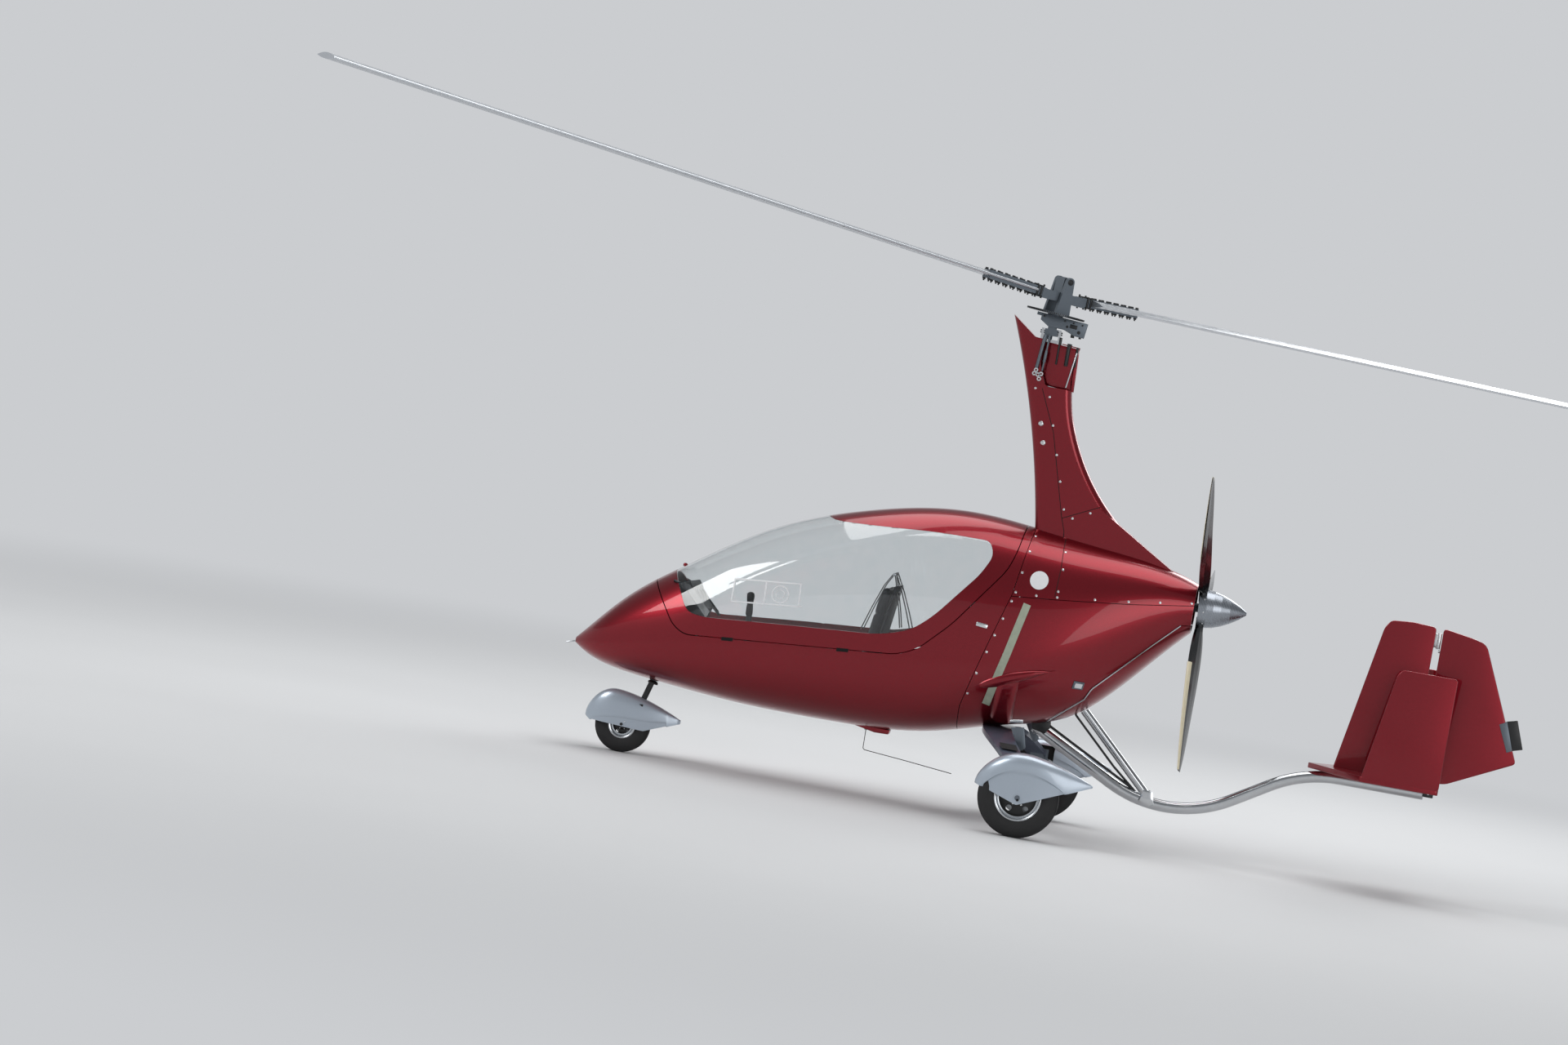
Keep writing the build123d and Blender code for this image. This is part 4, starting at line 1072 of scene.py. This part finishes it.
# Nose leg: one tube into the spat, two arms down to the axle inside it, and a boot where it leaves the tub
ARM_LINE = [(-1748, 260), (-1706, 260), (-1780, 132), (-1812, 132)]
leg = [
    bar("leg", (-1676, 0, 420), (-1724, 0, 252), 15, 32),
    block("leg_head", (-1748, -50, 236), (-1704, 50, 262), 5),
    bar("axle", (-1797, -52, 140), (-1797, 52, 140), 9),
]
leg += [plate("arm", ARM_LINE, *span(side, 44.5, 50), 2) for side in SIDES]
place(joined("nose_leg_and_arms", leg), BLACK, "nose_leg", "nose_fork")
boot = turned("nose_leg_boot", [(17, 0), (26, 0), (27, 6), (24, 12), (17, 16), (17, 0)], 32)
place(moved(boot, shift(-1683, 0, 372) @ swing(9, "Y")), BLACK, "airframe")

# Gear: brackets, cross bolts and tread patches
BRACKET_LINE = [(186, 512), (252, 523), (276, 424), (262, 408), (246, 409)]
for side, label in SIDES.items():
    bracket = plate(f"gear_bracket_{label}", BRACKET_LINE, *span(side, 455, 463), 2)
    place(bracket, ANODISED, "airframe")
    place(bar(f"gear_cross_bolt_{label}", (176, side * 440, 541), (240, side * 440, 551), 9, 20),
          BRIGHT, "airframe")
    patch = sheet_over(f"tread_patch_{label}", 6, 8, lambda u, v: Vector((
        150 + 84 * u + 18 * v, side * (545 + 55 * v), 433.5 - 23 * v)) / 1000, 1.2)
    place(patch, RUBBER, "airframe")

# Keel: slim pipes beside the tubes, clevises at the root and feet of the strut
KEEL_PIPE = [(330, 0, 536), (347, 0, 528), (794, 0, 303), (812, 0, 288)]
STRUT_PIPE = [(452, 0, 640), (470, 0, 604), (700, 0, 386), (852, 0, 262)]
CLEVIS_LINE = [(255, 545), (345, 560), (352, 520), (330, 486), (262, 500)]
STRUT_FOOT_LINE = [(872, 300), (915, 296), (935, 236), (905, 214), (850, 240)]
place(wire("keel_pipe", KEEL_PIPE, 7), BLACK, "airframe")
place(wire("strut_pipe", STRUT_PIPE, 6), BLACK, "airframe")
for side, label in SIDES.items():
    clevis = plate(f"keel_clevis_{label}", CLEVIS_LINE, *span(side, 31, 38), 3)
    place(clevis, BLACK, "airframe")
    strut_plate = plate(f"strut_foot_{label}", STRUT_FOOT_LINE, *span(side, 31, 38), 3)
    place(strut_plate, POLISHED, "airframe")

# Tail: plates with rounded edges
FIN_LINE = [(1782, 576), (1914, 1320), (1942, 1362), (2052, 1372), (2170, 1366), (2170, 576)]
RUDDER_LINE = [
    (2206, 1367), (2352, 1345), (2415, 1330), (2437, 1310), (2676, 762), (2352, 601), (2282, 591),
    (2206, 591),
]
OUTER_FIN_LINE = [(1931, 578), (2020, 1110), (2042, 1138), (2062, 1141), (2318, 1141), (2318, 578)]
STABILISER_LINE = [(1655, 0), (1931, -419), (2318, -419), (2318, 419), (1931, 419)]
centre_fin = plate("centre_fin", softened(FIN_LINE, 18, 3), -17.5, 17.5, 13, 5)
place(centre_fin, RED, "airframe", "tail_fin")
rudder = plate("rudder_plate", softened(RUDDER_LINE, 18, 3), -14.5, 14.5, 10, 5)
place(rudder, RED, "rudder", "rudder")
stabiliser = plate("tail_plane", softened(STABILISER_LINE, 14, 3), 558.5, 585.5, 11, 5, flat=True)
place(stabiliser, RED, "airframe", "stabiliser")
outer_fins = [plate("outer_fin", softened(OUTER_FIN_LINE, 16, 3), *span(side, 398.5, 419.5), 8, 4)
              for side in SIDES]
place(joined("side_fins", outer_fins), RED, "airframe", "outer_fins")

# Rudder hinges: barrels and eyes on the fin, lugs on the rudder
HINGE_X, HINGE_HEIGHTS, FIN_TOP = 2192, (660, 980, 1300), 1352
barrels = []
for height in HINGE_HEIGHTS:
    barrels.append(bar("barrel", (HINGE_X, 0, height - 40), (HINGE_X, 0, height + 40), 10))
    barrels.append(block("eye", (HINGE_X - 26, -6, height - 34), (HINGE_X + 2, 6, height + 34), 2))
place(joined("rudder_hinges", barrels), SCREW, "airframe")
lugs = [block("lug", (HINGE_X + 4, -5, height + low), (HINGE_X + 24, 5, height + high), 2)
        for height in HINGE_HEIGHTS for low, high in ((-58, -43), (43, 58)) if height + high < FIN_TOP]
place(joined("rudder_lugs", lugs), SCREW, "rudder")

# Trim tab with its bracket, and the clevis that holds the tail
BRACKET_GREY = [(2560, 945), (2597, 965), (2647, 825), (2620, 812)]
TAB_BLACK = [(2592, 965), (2647, 980), (2697, 840), (2647, 825)]
place(plate("trim_bracket", BRACKET_GREY, -18, 18, 2), ANODISED, "rudder")
place(plate("trim_tab", TAB_BLACK, -12, 12, 2), BLACK, "rudder")
for side, label in SIDES.items():
    near, far = span(side, 22, 32)
    clevis = block(f"tail_clevis_{label}", (2246, near, 520), (2300, far, 562), 3)
    place(clevis, BLACK, "airframe")
place(bar("tail_clevis_bolt", (2274, -42, 541), (2274, 42, 541), 8, 6), SCREW, "airframe")

# Propeller: cream guard along each leading edge. Rows are radius, chord, thickness, pitch
PROP = shift(997, 0, 1250) @ swing(90 - 2.9, "Y")
PROP_ROWS = ((112, 46, 40, 60), (220, 88, 28, 42), (430, 122, 18, 26), (680, 104, 12, 19), (860, 46, 7, 15))
BLADE_TURNS, SPINNER_SCREWS = (19.3, 139.3, 259.3), 9
PROP_RADII, *PROP_COLUMNS = zip(*PROP_ROWS)
CHORD, THICK, PITCH = (spline(PROP_RADII, column) for column in PROP_COLUMNS)


def guard_spot(u, v):
    """u wraps from the front face over the leading edge to the back face, v runs out along the blade."""
    radius = 300 + 558 * v
    chord, thick, pitch = CHORD(radius), THICK(radius), radians(PITCH(radius))
    wrap = 2 * u - 1
    along = -0.5 * chord - 1.2 + 0.17 * chord * abs(wrap) ** 2.0
    over = wrap * (0.52 if wrap > 0 else 0.42) * thick + (1.3 if wrap > 0 else -1.3) * abs(wrap) ** 0.5
    y, z = along * cos(pitch) - over * sin(pitch), along * sin(pitch) + over * cos(pitch)
    return Vector((radius, y, z)) / 1000


guard = sheet_over("blade_guards", 10, 70, guard_spot, 1.0)
guards = repeated("blade_guards", guard, [PROP @ swing(-turn) for turn in BLADE_TURNS])
place(guards, CREAM, "propeller")
on_spinner = shift(96.8, 0, 12) @ swing(90, "Y") @ Matrix.Scale(0.7, 4)
screw_spots = [PROP @ swing(360 * k / SPINNER_SCREWS) @ on_spinner for k in range(SPINNER_SCREWS)]
place(repeated("spinner_screws", screw_model(), screw_spots), SCREW, "propeller")

# Rotor: bolts through the blade grips, clamps on the hub bar
HEAD = shift(5, 0, 2530) @ swing(4.7, "Y")
ROTOR = HEAD @ swing(215.5)
HUB_BAR = ROTOR @ shift(0, 0, 138)
ARMS = [HUB_BAR @ swing(turn) @ swing(-2.6, "Y") for turn in (0, 180)]
BOLT_START, BOLT_PITCH, BOLT_OFF, BOLT_ROWS = 175, 45, 24, 7
grip_bolt = joined("grip_bolt", [
    bar("head", (0, 0, 21), (0, 0, 31), 8.5, 6, 1), bar("washer", (0, 0, 21), (0, 0, 23), 10, 16, 0),
    bar("nut", (0, 0, -31), (0, 0, -21), 8.5, 6, 1), bar("thread", (0, 0, -38), (0, 0, -30), 4, 12, 0)])
bolt_spots = [arm @ shift(BOLT_START + BOLT_PITCH * k, side * BOLT_OFF, 0)
              for arm in ARMS for k in range(BOLT_ROWS) for side in SIDES]
place(repeated("grip_bolts", grip_bolt, bolt_spots), BLACK, "rotor")
clamp = joined("hub_clamp", [
    block("rib", (136, -44, -29), (146, 44, 29), 2), block("rib", (156, -44, -29), (166, 44, 29), 2),
    bar("pin", (128, 30, 36), (128, 30, -36), 5, 12), bar("pin", (128, -30, 36), (128, -30, -36), 5, 12)])
place(repeated("hub_clamps", clamp, ARMS), BLACK, "rotor")

# Rotor head: cheeks with their bolts. Rows are x, z, radius of a bolt
CHEEK_LINE = [(-64, 6), (-20, -18), (60, -16), (120, -34), (166, -34), (170, 42), (-64, 42)]
CHEEK_BOLTS = ((-50, 28, 6), (58, 28, 5), (76, 2, 7), (104, 28, 5), (140, -12, 9), (150, 28, 5))
for side, label in SIDES.items():
    cheek = plate(f"head_cheek_{label}", CHEEK_LINE, *span(side, 40, 45), 1.5)
    fittings = [bar("bolt", (x, side * 44, z), (x, side * 50, z), radius, 6) for x, z, radius in CHEEK_BOLTS]
    near, far = span(side, 44, 48)
    fittings.append(block("pad", (88, near, 0), (126, far, 20), 2))
    place(moved(cheek, HEAD), ANODISED, "head_pitch")
    place(moved(joined(f"head_bolts_{label}", fittings), HEAD), BLACK, "head_pitch")

# Ring gear teeth and teeter pins
TEETH = 96
tooth = block("tooth", (143, -2.4, 47.4), (149, 2.4, 56.6), 0)
tooth_spots = [ROTOR @ swing(360 * k / TEETH) for k in range(TEETH)]
place(repeated("ring_gear_teeth", tooth, tooth_spots), BLACK, "rotor_hub")
pin = joined("teeter_pin", [
    bar("washer", (0, -63, 222), (0, -66.5, 222), 15, 32), bar("head", (0, -66, 222), (0, -72, 222), 10, 6)])
place(repeated("teeter_pins", pin, [ROTOR, ROTOR @ swing(180)]), BLACK, "rotor_hub")

# Control rods and struts below the head: rod ends as x, z, struts as x, radius, top, links as x, radius
ROD_Y = 62
ROD_ENDS = ((-34, 2286), (-22, 2264), (-6, 2270), (-12, 2244), (-40, 2268))
STRUTS = ((57, 5, 2468), (107, 10, 2444), (152, 6, 2432))
LINKS = ((112, 9), (150, 6))
for side, label in SIDES.items():
    y = side * ROD_Y
    rods = [
        bar("rod", (-34, y, 2296), (-18, side * 60, 2470), 9),
        bar("rod", (-4, y, 2286), (4, side * 60, 2474), 5),
        bar("sleeve", (-2, y, 2330), (1, y, 2390), 8),
    ]
    place(joined(f"control_rods_{label}", rods), ANODISED, "airframe")
    rod_end = turned("rod_end", [(5, -8), (11, -8), (13, -3), (13, 3), (11, 8), (5, 8), (5, -8)], 24)
    ends = repeated(f"rod_ends_{label}", rod_end, [shift(x, y, z) @ swing(90, "X") for x, z in ROD_ENDS])
    place(ends, SCREW, "airframe")
    fixed = [bar("strut", (x, side * 37, 2330), (x, side * 37, top), radius) for x, radius, top in STRUTS]
    place(joined(f"head_struts_{label}", fixed), BLACK, "airframe")
    moving = [bar("link", (x, side * 12, 2476), (x, side * 12, 2545), radius) for x, radius in LINKS]
    place(joined(f"head_links_{label}", moving), BLACK, "head_pitch")

# Mast fairing: its rear piece with an open bay on each side and an open top
BAY = [(-22, 2500), (-18, 2320), (22, 2222), (40, 2213), (158, 2213), (158, 2500)]
BAY_PANEL = [(-16, 2436), (-14, 2322), (24, 2218), (166, 2206), (158, 2425)]
FAIRING_TOP = [(-20, 2418), (175, 2418), (175, 2500), (-20, 2500)]
rear_fairing = copy_of(NODES["mast_fairing_rear"], "rear_fairing")
rear_fairing.parent = None
rear_fairing.matrix_world = Matrix.Identity(4)
rear_fairing.data.transform(NODES["mast_fairing_rear"].matrix_world)
merged(rear_fairing)
for side in SIDES:
    boolean(rear_fairing, prism(BAY, *span(side, 30, 70)))
boolean(rear_fairing, prism(FAIRING_TOP, -25.5, 25.5))
place(rear_fairing, RED, "airframe", "mast_fairing_rear")
for side, label in SIDES.items():
    place(plate(f"bay_panel_{label}", BAY_PANEL, *span(side, 26, 30), 0.8), RED, "airframe")
    place(bar(f"bay_rod_{label}", (152, side * 40, 2405), (127, side * 40, 2222), 4),
          BRIGHT, "airframe")

# Seams and screws of the mast fairing. Screws are x, z, size
FAIRING_SEAM = [(12, 2200), (107, 1990), (152, 1830), (222, 1580), (247, 1510), (254, 1440)]
CROSS_SEAM = [(224, 1572), (408, 1662)]
SEAM_WIDTH = 3.4
FAIRING_SCREWS = (
    (57, 2163, 1), (99, 2024, 1), (143, 1881, 1), (184, 1752, 1), (227, 1617, 1), (37, 2024, 2),
    (64, 1930, 2), (278, 1580, 1), (362, 1622, 1), (-22, 2195, 1),
)
for side, label in SIDES.items():
    near, far = span(side, 50.5, 52.4)
    # The seams are thin dark walls just proud of the skin: painted shadow in the fairing's gaps.
    seams = [curtain(line, SEAM_WIDTH, near, far) for line in (FAIRING_SEAM, CROSS_SEAM)]
    place(joined(f"fairing_seam_shadows_{label}", seams), SEAM, "airframe")
    heads = [shift(x, side * 52, z) @ swing(-90 * side, "X") @ Matrix.Scale(size, 4)
             for x, z, size in FAIRING_SCREWS]
    place(repeated(f"fairing_screws_{label}", screw_model(), heads), SCREW, "airframe")

# Cabin: padded seats on thin pans
FLOOR_TOP = 436
CHANNEL_DEPTH, CHANNEL_WIDTH = 6, 6  # sewn channels across the cushions, in mm


def swollen(pad, cap):
    """Blows foam up against its cover by cloth pressure; no point moves more than cap, in mm."""
    start = [vertex.co.copy() for vertex in pad.data.vertices]
    swell = pad.modifiers.new("swell", "CLOTH")
    swell.settings.use_pressure = True
    swell.settings.uniform_pressure_force = 4.0
    swell.settings.effector_weights.gravity = 0.0
    for step in range(1, 21):
        bpy.context.scene.frame_set(step)
    blown = pad.evaluated_get(bpy.context.evaluated_depsgraph_get()).to_mesh()
    reached = [vertex.co.copy() for vertex in blown.vertices]
    pad.modifiers.remove(swell)
    bpy.context.scene.frame_set(1)
    for vertex, a, b in zip(pad.data.vertices, start, reached):
        way = b - a
        vertex.co = a + way * min(1.0, cap / 1000 / max(way.length, 1e-6))


def cushion(name, points, half, spacing, along_x, node):
    """Foam cushion from a side outline in mm, swollen against its cover, with sewn channels across it."""
    pad = plate(name, grown(points, -5), -half + 8, half - 8, 16, 3)
    even = pad.modifiers.new("even", "REMESH")
    even.mode = "VOXEL"
    even.voxel_size = 0.006
    apply_all(pad)
    swollen(pad, 10)
    pad.data.update()
    normals = [vertex.normal.copy() for vertex in pad.data.vertices]
    for vertex, normal in zip(pad.data.vertices, normals):
        reach = (vertex.co.x if along_x else vertex.co.z) * 1000
        off = reach % spacing - spacing / 2
        vertex.co -= normal * CHANNEL_DEPTH / 1000 * exp(-(off / CHANNEL_WIDTH) ** 2)
    smooth = pad.modifiers.new("smooth", "SUBSURF")
    smooth.levels = smooth.render_levels = 1
    apply_all(pad)
    place(pad, CLOTH, "airframe", node, 60)


# name, side outline, half width, channel spacing, whether the channels follow x, node
CUSHIONS = (
    ("front_seat_cushion", [(-1128, 556), (-735, 502), (-728, 450), (-1126, 492)],
     182, 95, True, "seat_front"),
    ("front_back_cushion", [(-672, 512), (-590, 1084), (-546, 1084), (-618, 500)],
     182, 110, False, "seat_front"),
    ("rear_seat_cushion", [(-522, 634), (-262, 588), (-258, 530), (-520, 566)],
     172, 88, True, "seat_rear"),
    ("rear_back_cushion", [(-236, 612), (-136, 1096), (-96, 1096), (-184, 600)],
     172, 110, False, "seat_rear"),
)
PANS = (
    ("front_seat_pan", [(-1146, FLOOR_TOP), (-1140, 488), (-728, 442), (-640, 478), (-612, 520), (-534, 1088),
                        (-524, 1088), (-600, 500), (-690, FLOOR_TOP)], 186),
    ("rear_seat_pan", [(-538, FLOOR_TOP), (-534, 560), (-256, 524), (-200, 560), (-176, 620), (-84, 1100),
                       (-72, 1100), (-160, 600), (-222, FLOOR_TOP)], 176),
)
for row in CUSHIONS:
    cushion(*row)
for name, points, half in PANS:
    place(plate(name, points, -half, half, 4), LINING, "airframe")


# Belts: flat webbing with its bar and buckles
def belt(name, route, width, wall=2.0):
    """Flat webbing along a route in mm, its width across the cabin."""
    xs, ys, zs = zip(*route)
    ends = [k / (len(route) - 1) for k in range(len(route))]
    return sheet_over(name, 3, 30, lambda u, v: Vector((
        float(np.interp(v, ends, xs)), float(np.interp(v, ends, ys)) + (u - 0.5) * width,
        float(np.interp(v, ends, zs)))) / 1000, wall)


BELTS = (
    [(-676, 75, 840), (-640, 66, 960), (-598, 52, 1080), (-560, 40, 1148)],
    [(-558, 40, 1150), (-532, 44, 1060), (-504, 48, 960), (-486, 52, 880)],
    [(-552, 44, 1152), (-505, 58, 1060), (-462, 72, 960), (-428, 84, 872)],
)
BUCKLES = ((-500, 120, 792), (-470, 150, 790), (-610, 150, 800))
BELT_WIDTH = 44
for index, route in enumerate(BELTS, 1):
    place(both_sides(belt(f"belts_{index}", route, BELT_WIDTH)), WEBBING, "airframe")
place(bar("belt_bar", (-556, -75, 1142), (-556, 75, 1142), 8), BRIGHT, "airframe")
for index, (x, y, z) in enumerate(BUCKLES, 1):
    buckle = block(f"belt_buckle_{index}", (x - 18, -y - 22, z - 6), (x + 18, -y + 22, z + 26), 5)
    place(buckle, BRIGHT, "airframe")

# Instruments: the panel leans back, its X across the cabin, its Z out of the dials
PANEL_LEAN = radians(34.695)
lean_x, lean_z = cos(PANEL_LEAN), sin(PANEL_LEAN)
PANEL = shift(-1515, 0, 865) @ Matrix((
    (0, -lean_z, lean_x, 0), (1, 0, 0, 0), (0, lean_x, lean_z, 0), (0, 0, 0, 1)))
DIALS = [PANEL @ shift(across, 0, 0) for across in (-105, 0, 105)]
HAND_TURNS = (45.84, -28.65, 126.05)
TICKS = 12
housing = turned("dial_housing", [
    (0.5, -60), (38.4, -60), (38.4, 1), (37.5, 3), (34, 3), (32.5, 0), (32.5, -4), (0.5, -4)], 48)
place(repeated("dial_housings", housing, DIALS), DASH, "airframe")
tick = block("tick", (-0.9, 25, -4), (0.9, 30, -3), 0)
ticks = [dial @ swing(360 * k / TICKS) for dial in DIALS for k in range(TICKS)]
place(repeated("dial_ticks", tick, ticks), WHITE, "airframe")
hand = joined("dial_hand", [
    block("mark", (-0.9, 22, -4), (0.9, 30, -3), 0), block("pointer", (-0.8, -5, -3.2), (0.8, 21, -2), 0)])
hands = [dial @ swing(turn) for dial, turn in zip(DIALS, HAND_TURNS)]
place(repeated("dial_hands", hand, hands), WHITE, "airframe")

# Dashboard wings: start beside the panel and stay a little off the skin
WING_ROOT, WING_GAP = 195, 20


def wing_spot(side, u, v):
    """u runs aft and down beside the panel, v out towards the skin."""
    x = -1640 + 200 * u
    reach = abs(on_skin(x, 790 + 140 * (1 - u), 1)[0].y) * 1000 - WING_GAP - WING_ROOT
    rise = float(np.interp(u, [0, 0.4, 1], [925, 905, 790]))
    return Vector((x, side * (WING_ROOT + reach * v), rise - 30 * v)) / 1000


for side, label in SIDES.items():
    wing = sheet_over(f"dash_wing_{label}", 30, 8, lambda u, v: wing_spot(side, u, v), 8)
    place(wing, DASH, "airframe")

# Stick grip and its button
GRIP_RINGS = [
    (0.5, -70), (16, -70), (18, -60), (17, -30), (15, -10), (18, 10), (20, 30), (17, 44), (8, 50), (0.5, 51),
]
STICK_WAY = Vector((-31, 0, 426))
lean = STICK_WAY.to_track_quat("Z", "Y").to_matrix().to_4x4()
grip = moved(turned("stick_grip", GRIP_RINGS, 32), shift(-1263, 0, 872) @ lean)
place(grip, RUBBER, "airframe")
place(bar("stick_button", (-1272, 0, 908), (-1286, 0, 914), 6), SCREW, "airframe")

# Vent window in the glass: rails and two rings
VENT_CENTRE = (-1078, 950)
VENT_LINES = (
    [(-1323, 985), (-978, 1020)], [(-1318, 872), (-958, 910)], [(-1323, 985), (-1318, 872)],
    [(-1160, 1001), (-1152, 890)], [(-985, 1019), (-975, 909)],
)


def vent_circle(radius):
    """Closed side line about the vent's centre."""
    turns = [2 * pi * k / 40 for k in range(41)]
    return [(VENT_CENTRE[0] + radius * cos(turn), VENT_CENTRE[1] + radius * sin(turn)) for turn in turns]


rails = [skin_ribbon("vent_rail", line, 7, 1.6, 3.0, 24) for line in VENT_LINES]
rails.append(skin_ribbon("vent_ring", vent_circle(42), 6, 1.8, 3.2, 80))
rails.append(skin_ribbon("vent_ring", vent_circle(22), 3, 1.8, 3.2, 60))
place(joined("vent_window", rails), WHITE, "canopy")

# Pieces kept as the frame has them
KEPT = {
    "painted_shell": RED, "dark_cabin": LINING, "upholstery": CLOTH, "firewall_sheet": SHEET,
    "grey_anodised": ANODISED, "polished_steel": POLISHED, "composite_bow": LAMINATE,
    "silver_shell": SILVER, "grey_steel": LEG, "tyre_rubber": RUBBER,
    "wheel_alloy": BRIGHT, "blade_aluminium": BLADE, "engine_block": BLOCK,
    "carbon_black": CARBON, "satin_silver": SPINNER, "clear_acrylic": ACRYLIC,
}
slot_of = {row["node"]: row["material_slot"] for row in frame["record"]["subparts"]}
for name, obj in NODES.items():
    if not obj.hide_render:
        obj.data.materials.clear()
        obj.data.materials.append(KEPT[slot_of[name]])
        smoothed(obj, 32)

# Camera: looks at the port side from slightly above, and rolls as the photographed craft banks
HEADING, DROP, ROLL = radians(-6.63), radians(1.67), radians(10.1)
look = Vector((sin(HEADING) * cos(DROP), cos(HEADING) * cos(DROP), -sin(DROP)))
level = Vector((cos(HEADING), -sin(HEADING), 0.0))
upward = level.cross(look)
right = level * cos(ROLL) + upward * sin(ROLL)
above = upward * cos(ROLL) - level * sin(ROLL)
camera_data = bpy.data.cameras.new("camera")
camera_data.sensor_fit = "HORIZONTAL"
camera_data.sensor_width = 36.0
camera_data.lens = 127.1
camera_data.clip_end = 400.0
camera = bpy.data.objects.new("camera", camera_data)
camera.matrix_world = Matrix((
    (right.x, above.x, -look.x, EYE.x), (right.y, above.y, -look.y, EYE.y),
    (right.z, above.z, -look.z, EYE.z), (0, 0, 0, 1),
))
bpy.context.scene.collection.objects.link(camera)
bpy.context.scene.camera = camera


# Floor, lamps and light of the studio
def studio_surface():
    """Pale floor that curves up into a round backdrop, wide enough to look at the object from every side."""
    reach, curve, height = 85000, 12000, 36000
    turns = [pi / 2 * k / 12 for k in range(1, 13)]
    rings = [(0.004, 0), (6000, 0), (14000, 0), (30000, 0), (reach, 0)]
    rings += [(reach + curve * sin(turn), curve * (1 - cos(turn))) for turn in turns]
    rings.append((reach + curve, height))
    dish = turned("studio_floor", rings, 96, filled=False)
    dish.data.flip_normals()  # the side towards the object is the one that shows
    dish.data.materials.append(studio_paper())
    dish.data.polygons.foreach_set("use_smooth", [True] * len(dish.data.polygons))


studio_surface()
# name, place, what it points at, size, power
LAMPS = (
    ("key", (-12, -8, 11), (0, 0, 1), 7, 1050), ("fill", (9, -13, 4), (0, 0, 1), 8, 420),
    ("top", (0, 1, 10), (0, 0, 1), 9, 700), ("rim", (4, 9, 6), (0, 0, 1.2), 5, 350),
)
for name, spot, goal, size, power in LAMPS:
    data = bpy.data.lights.new(name, "AREA")
    data.shape = "SQUARE"
    data.size = size
    data.energy = power
    lamp = bpy.data.objects.new(name, data)
    lamp.location = spot
    lamp.rotation_euler = (Vector(goal) - Vector(spot)).to_track_quat("-Z", "Y").to_euler()
    bpy.context.scene.collection.objects.link(lamp)
world = bpy.data.worlds.new("studio")
bpy.context.scene.world = world
world.use_nodes = True
world.node_tree.nodes["Background"].inputs["Color"].default_value = colour("#C9CCD0")
world.node_tree.nodes["Background"].inputs["Strength"].default_value = 0.45
bpy.context.scene.view_settings.view_transform = "Standard"

bpy.context.view_layer.update()
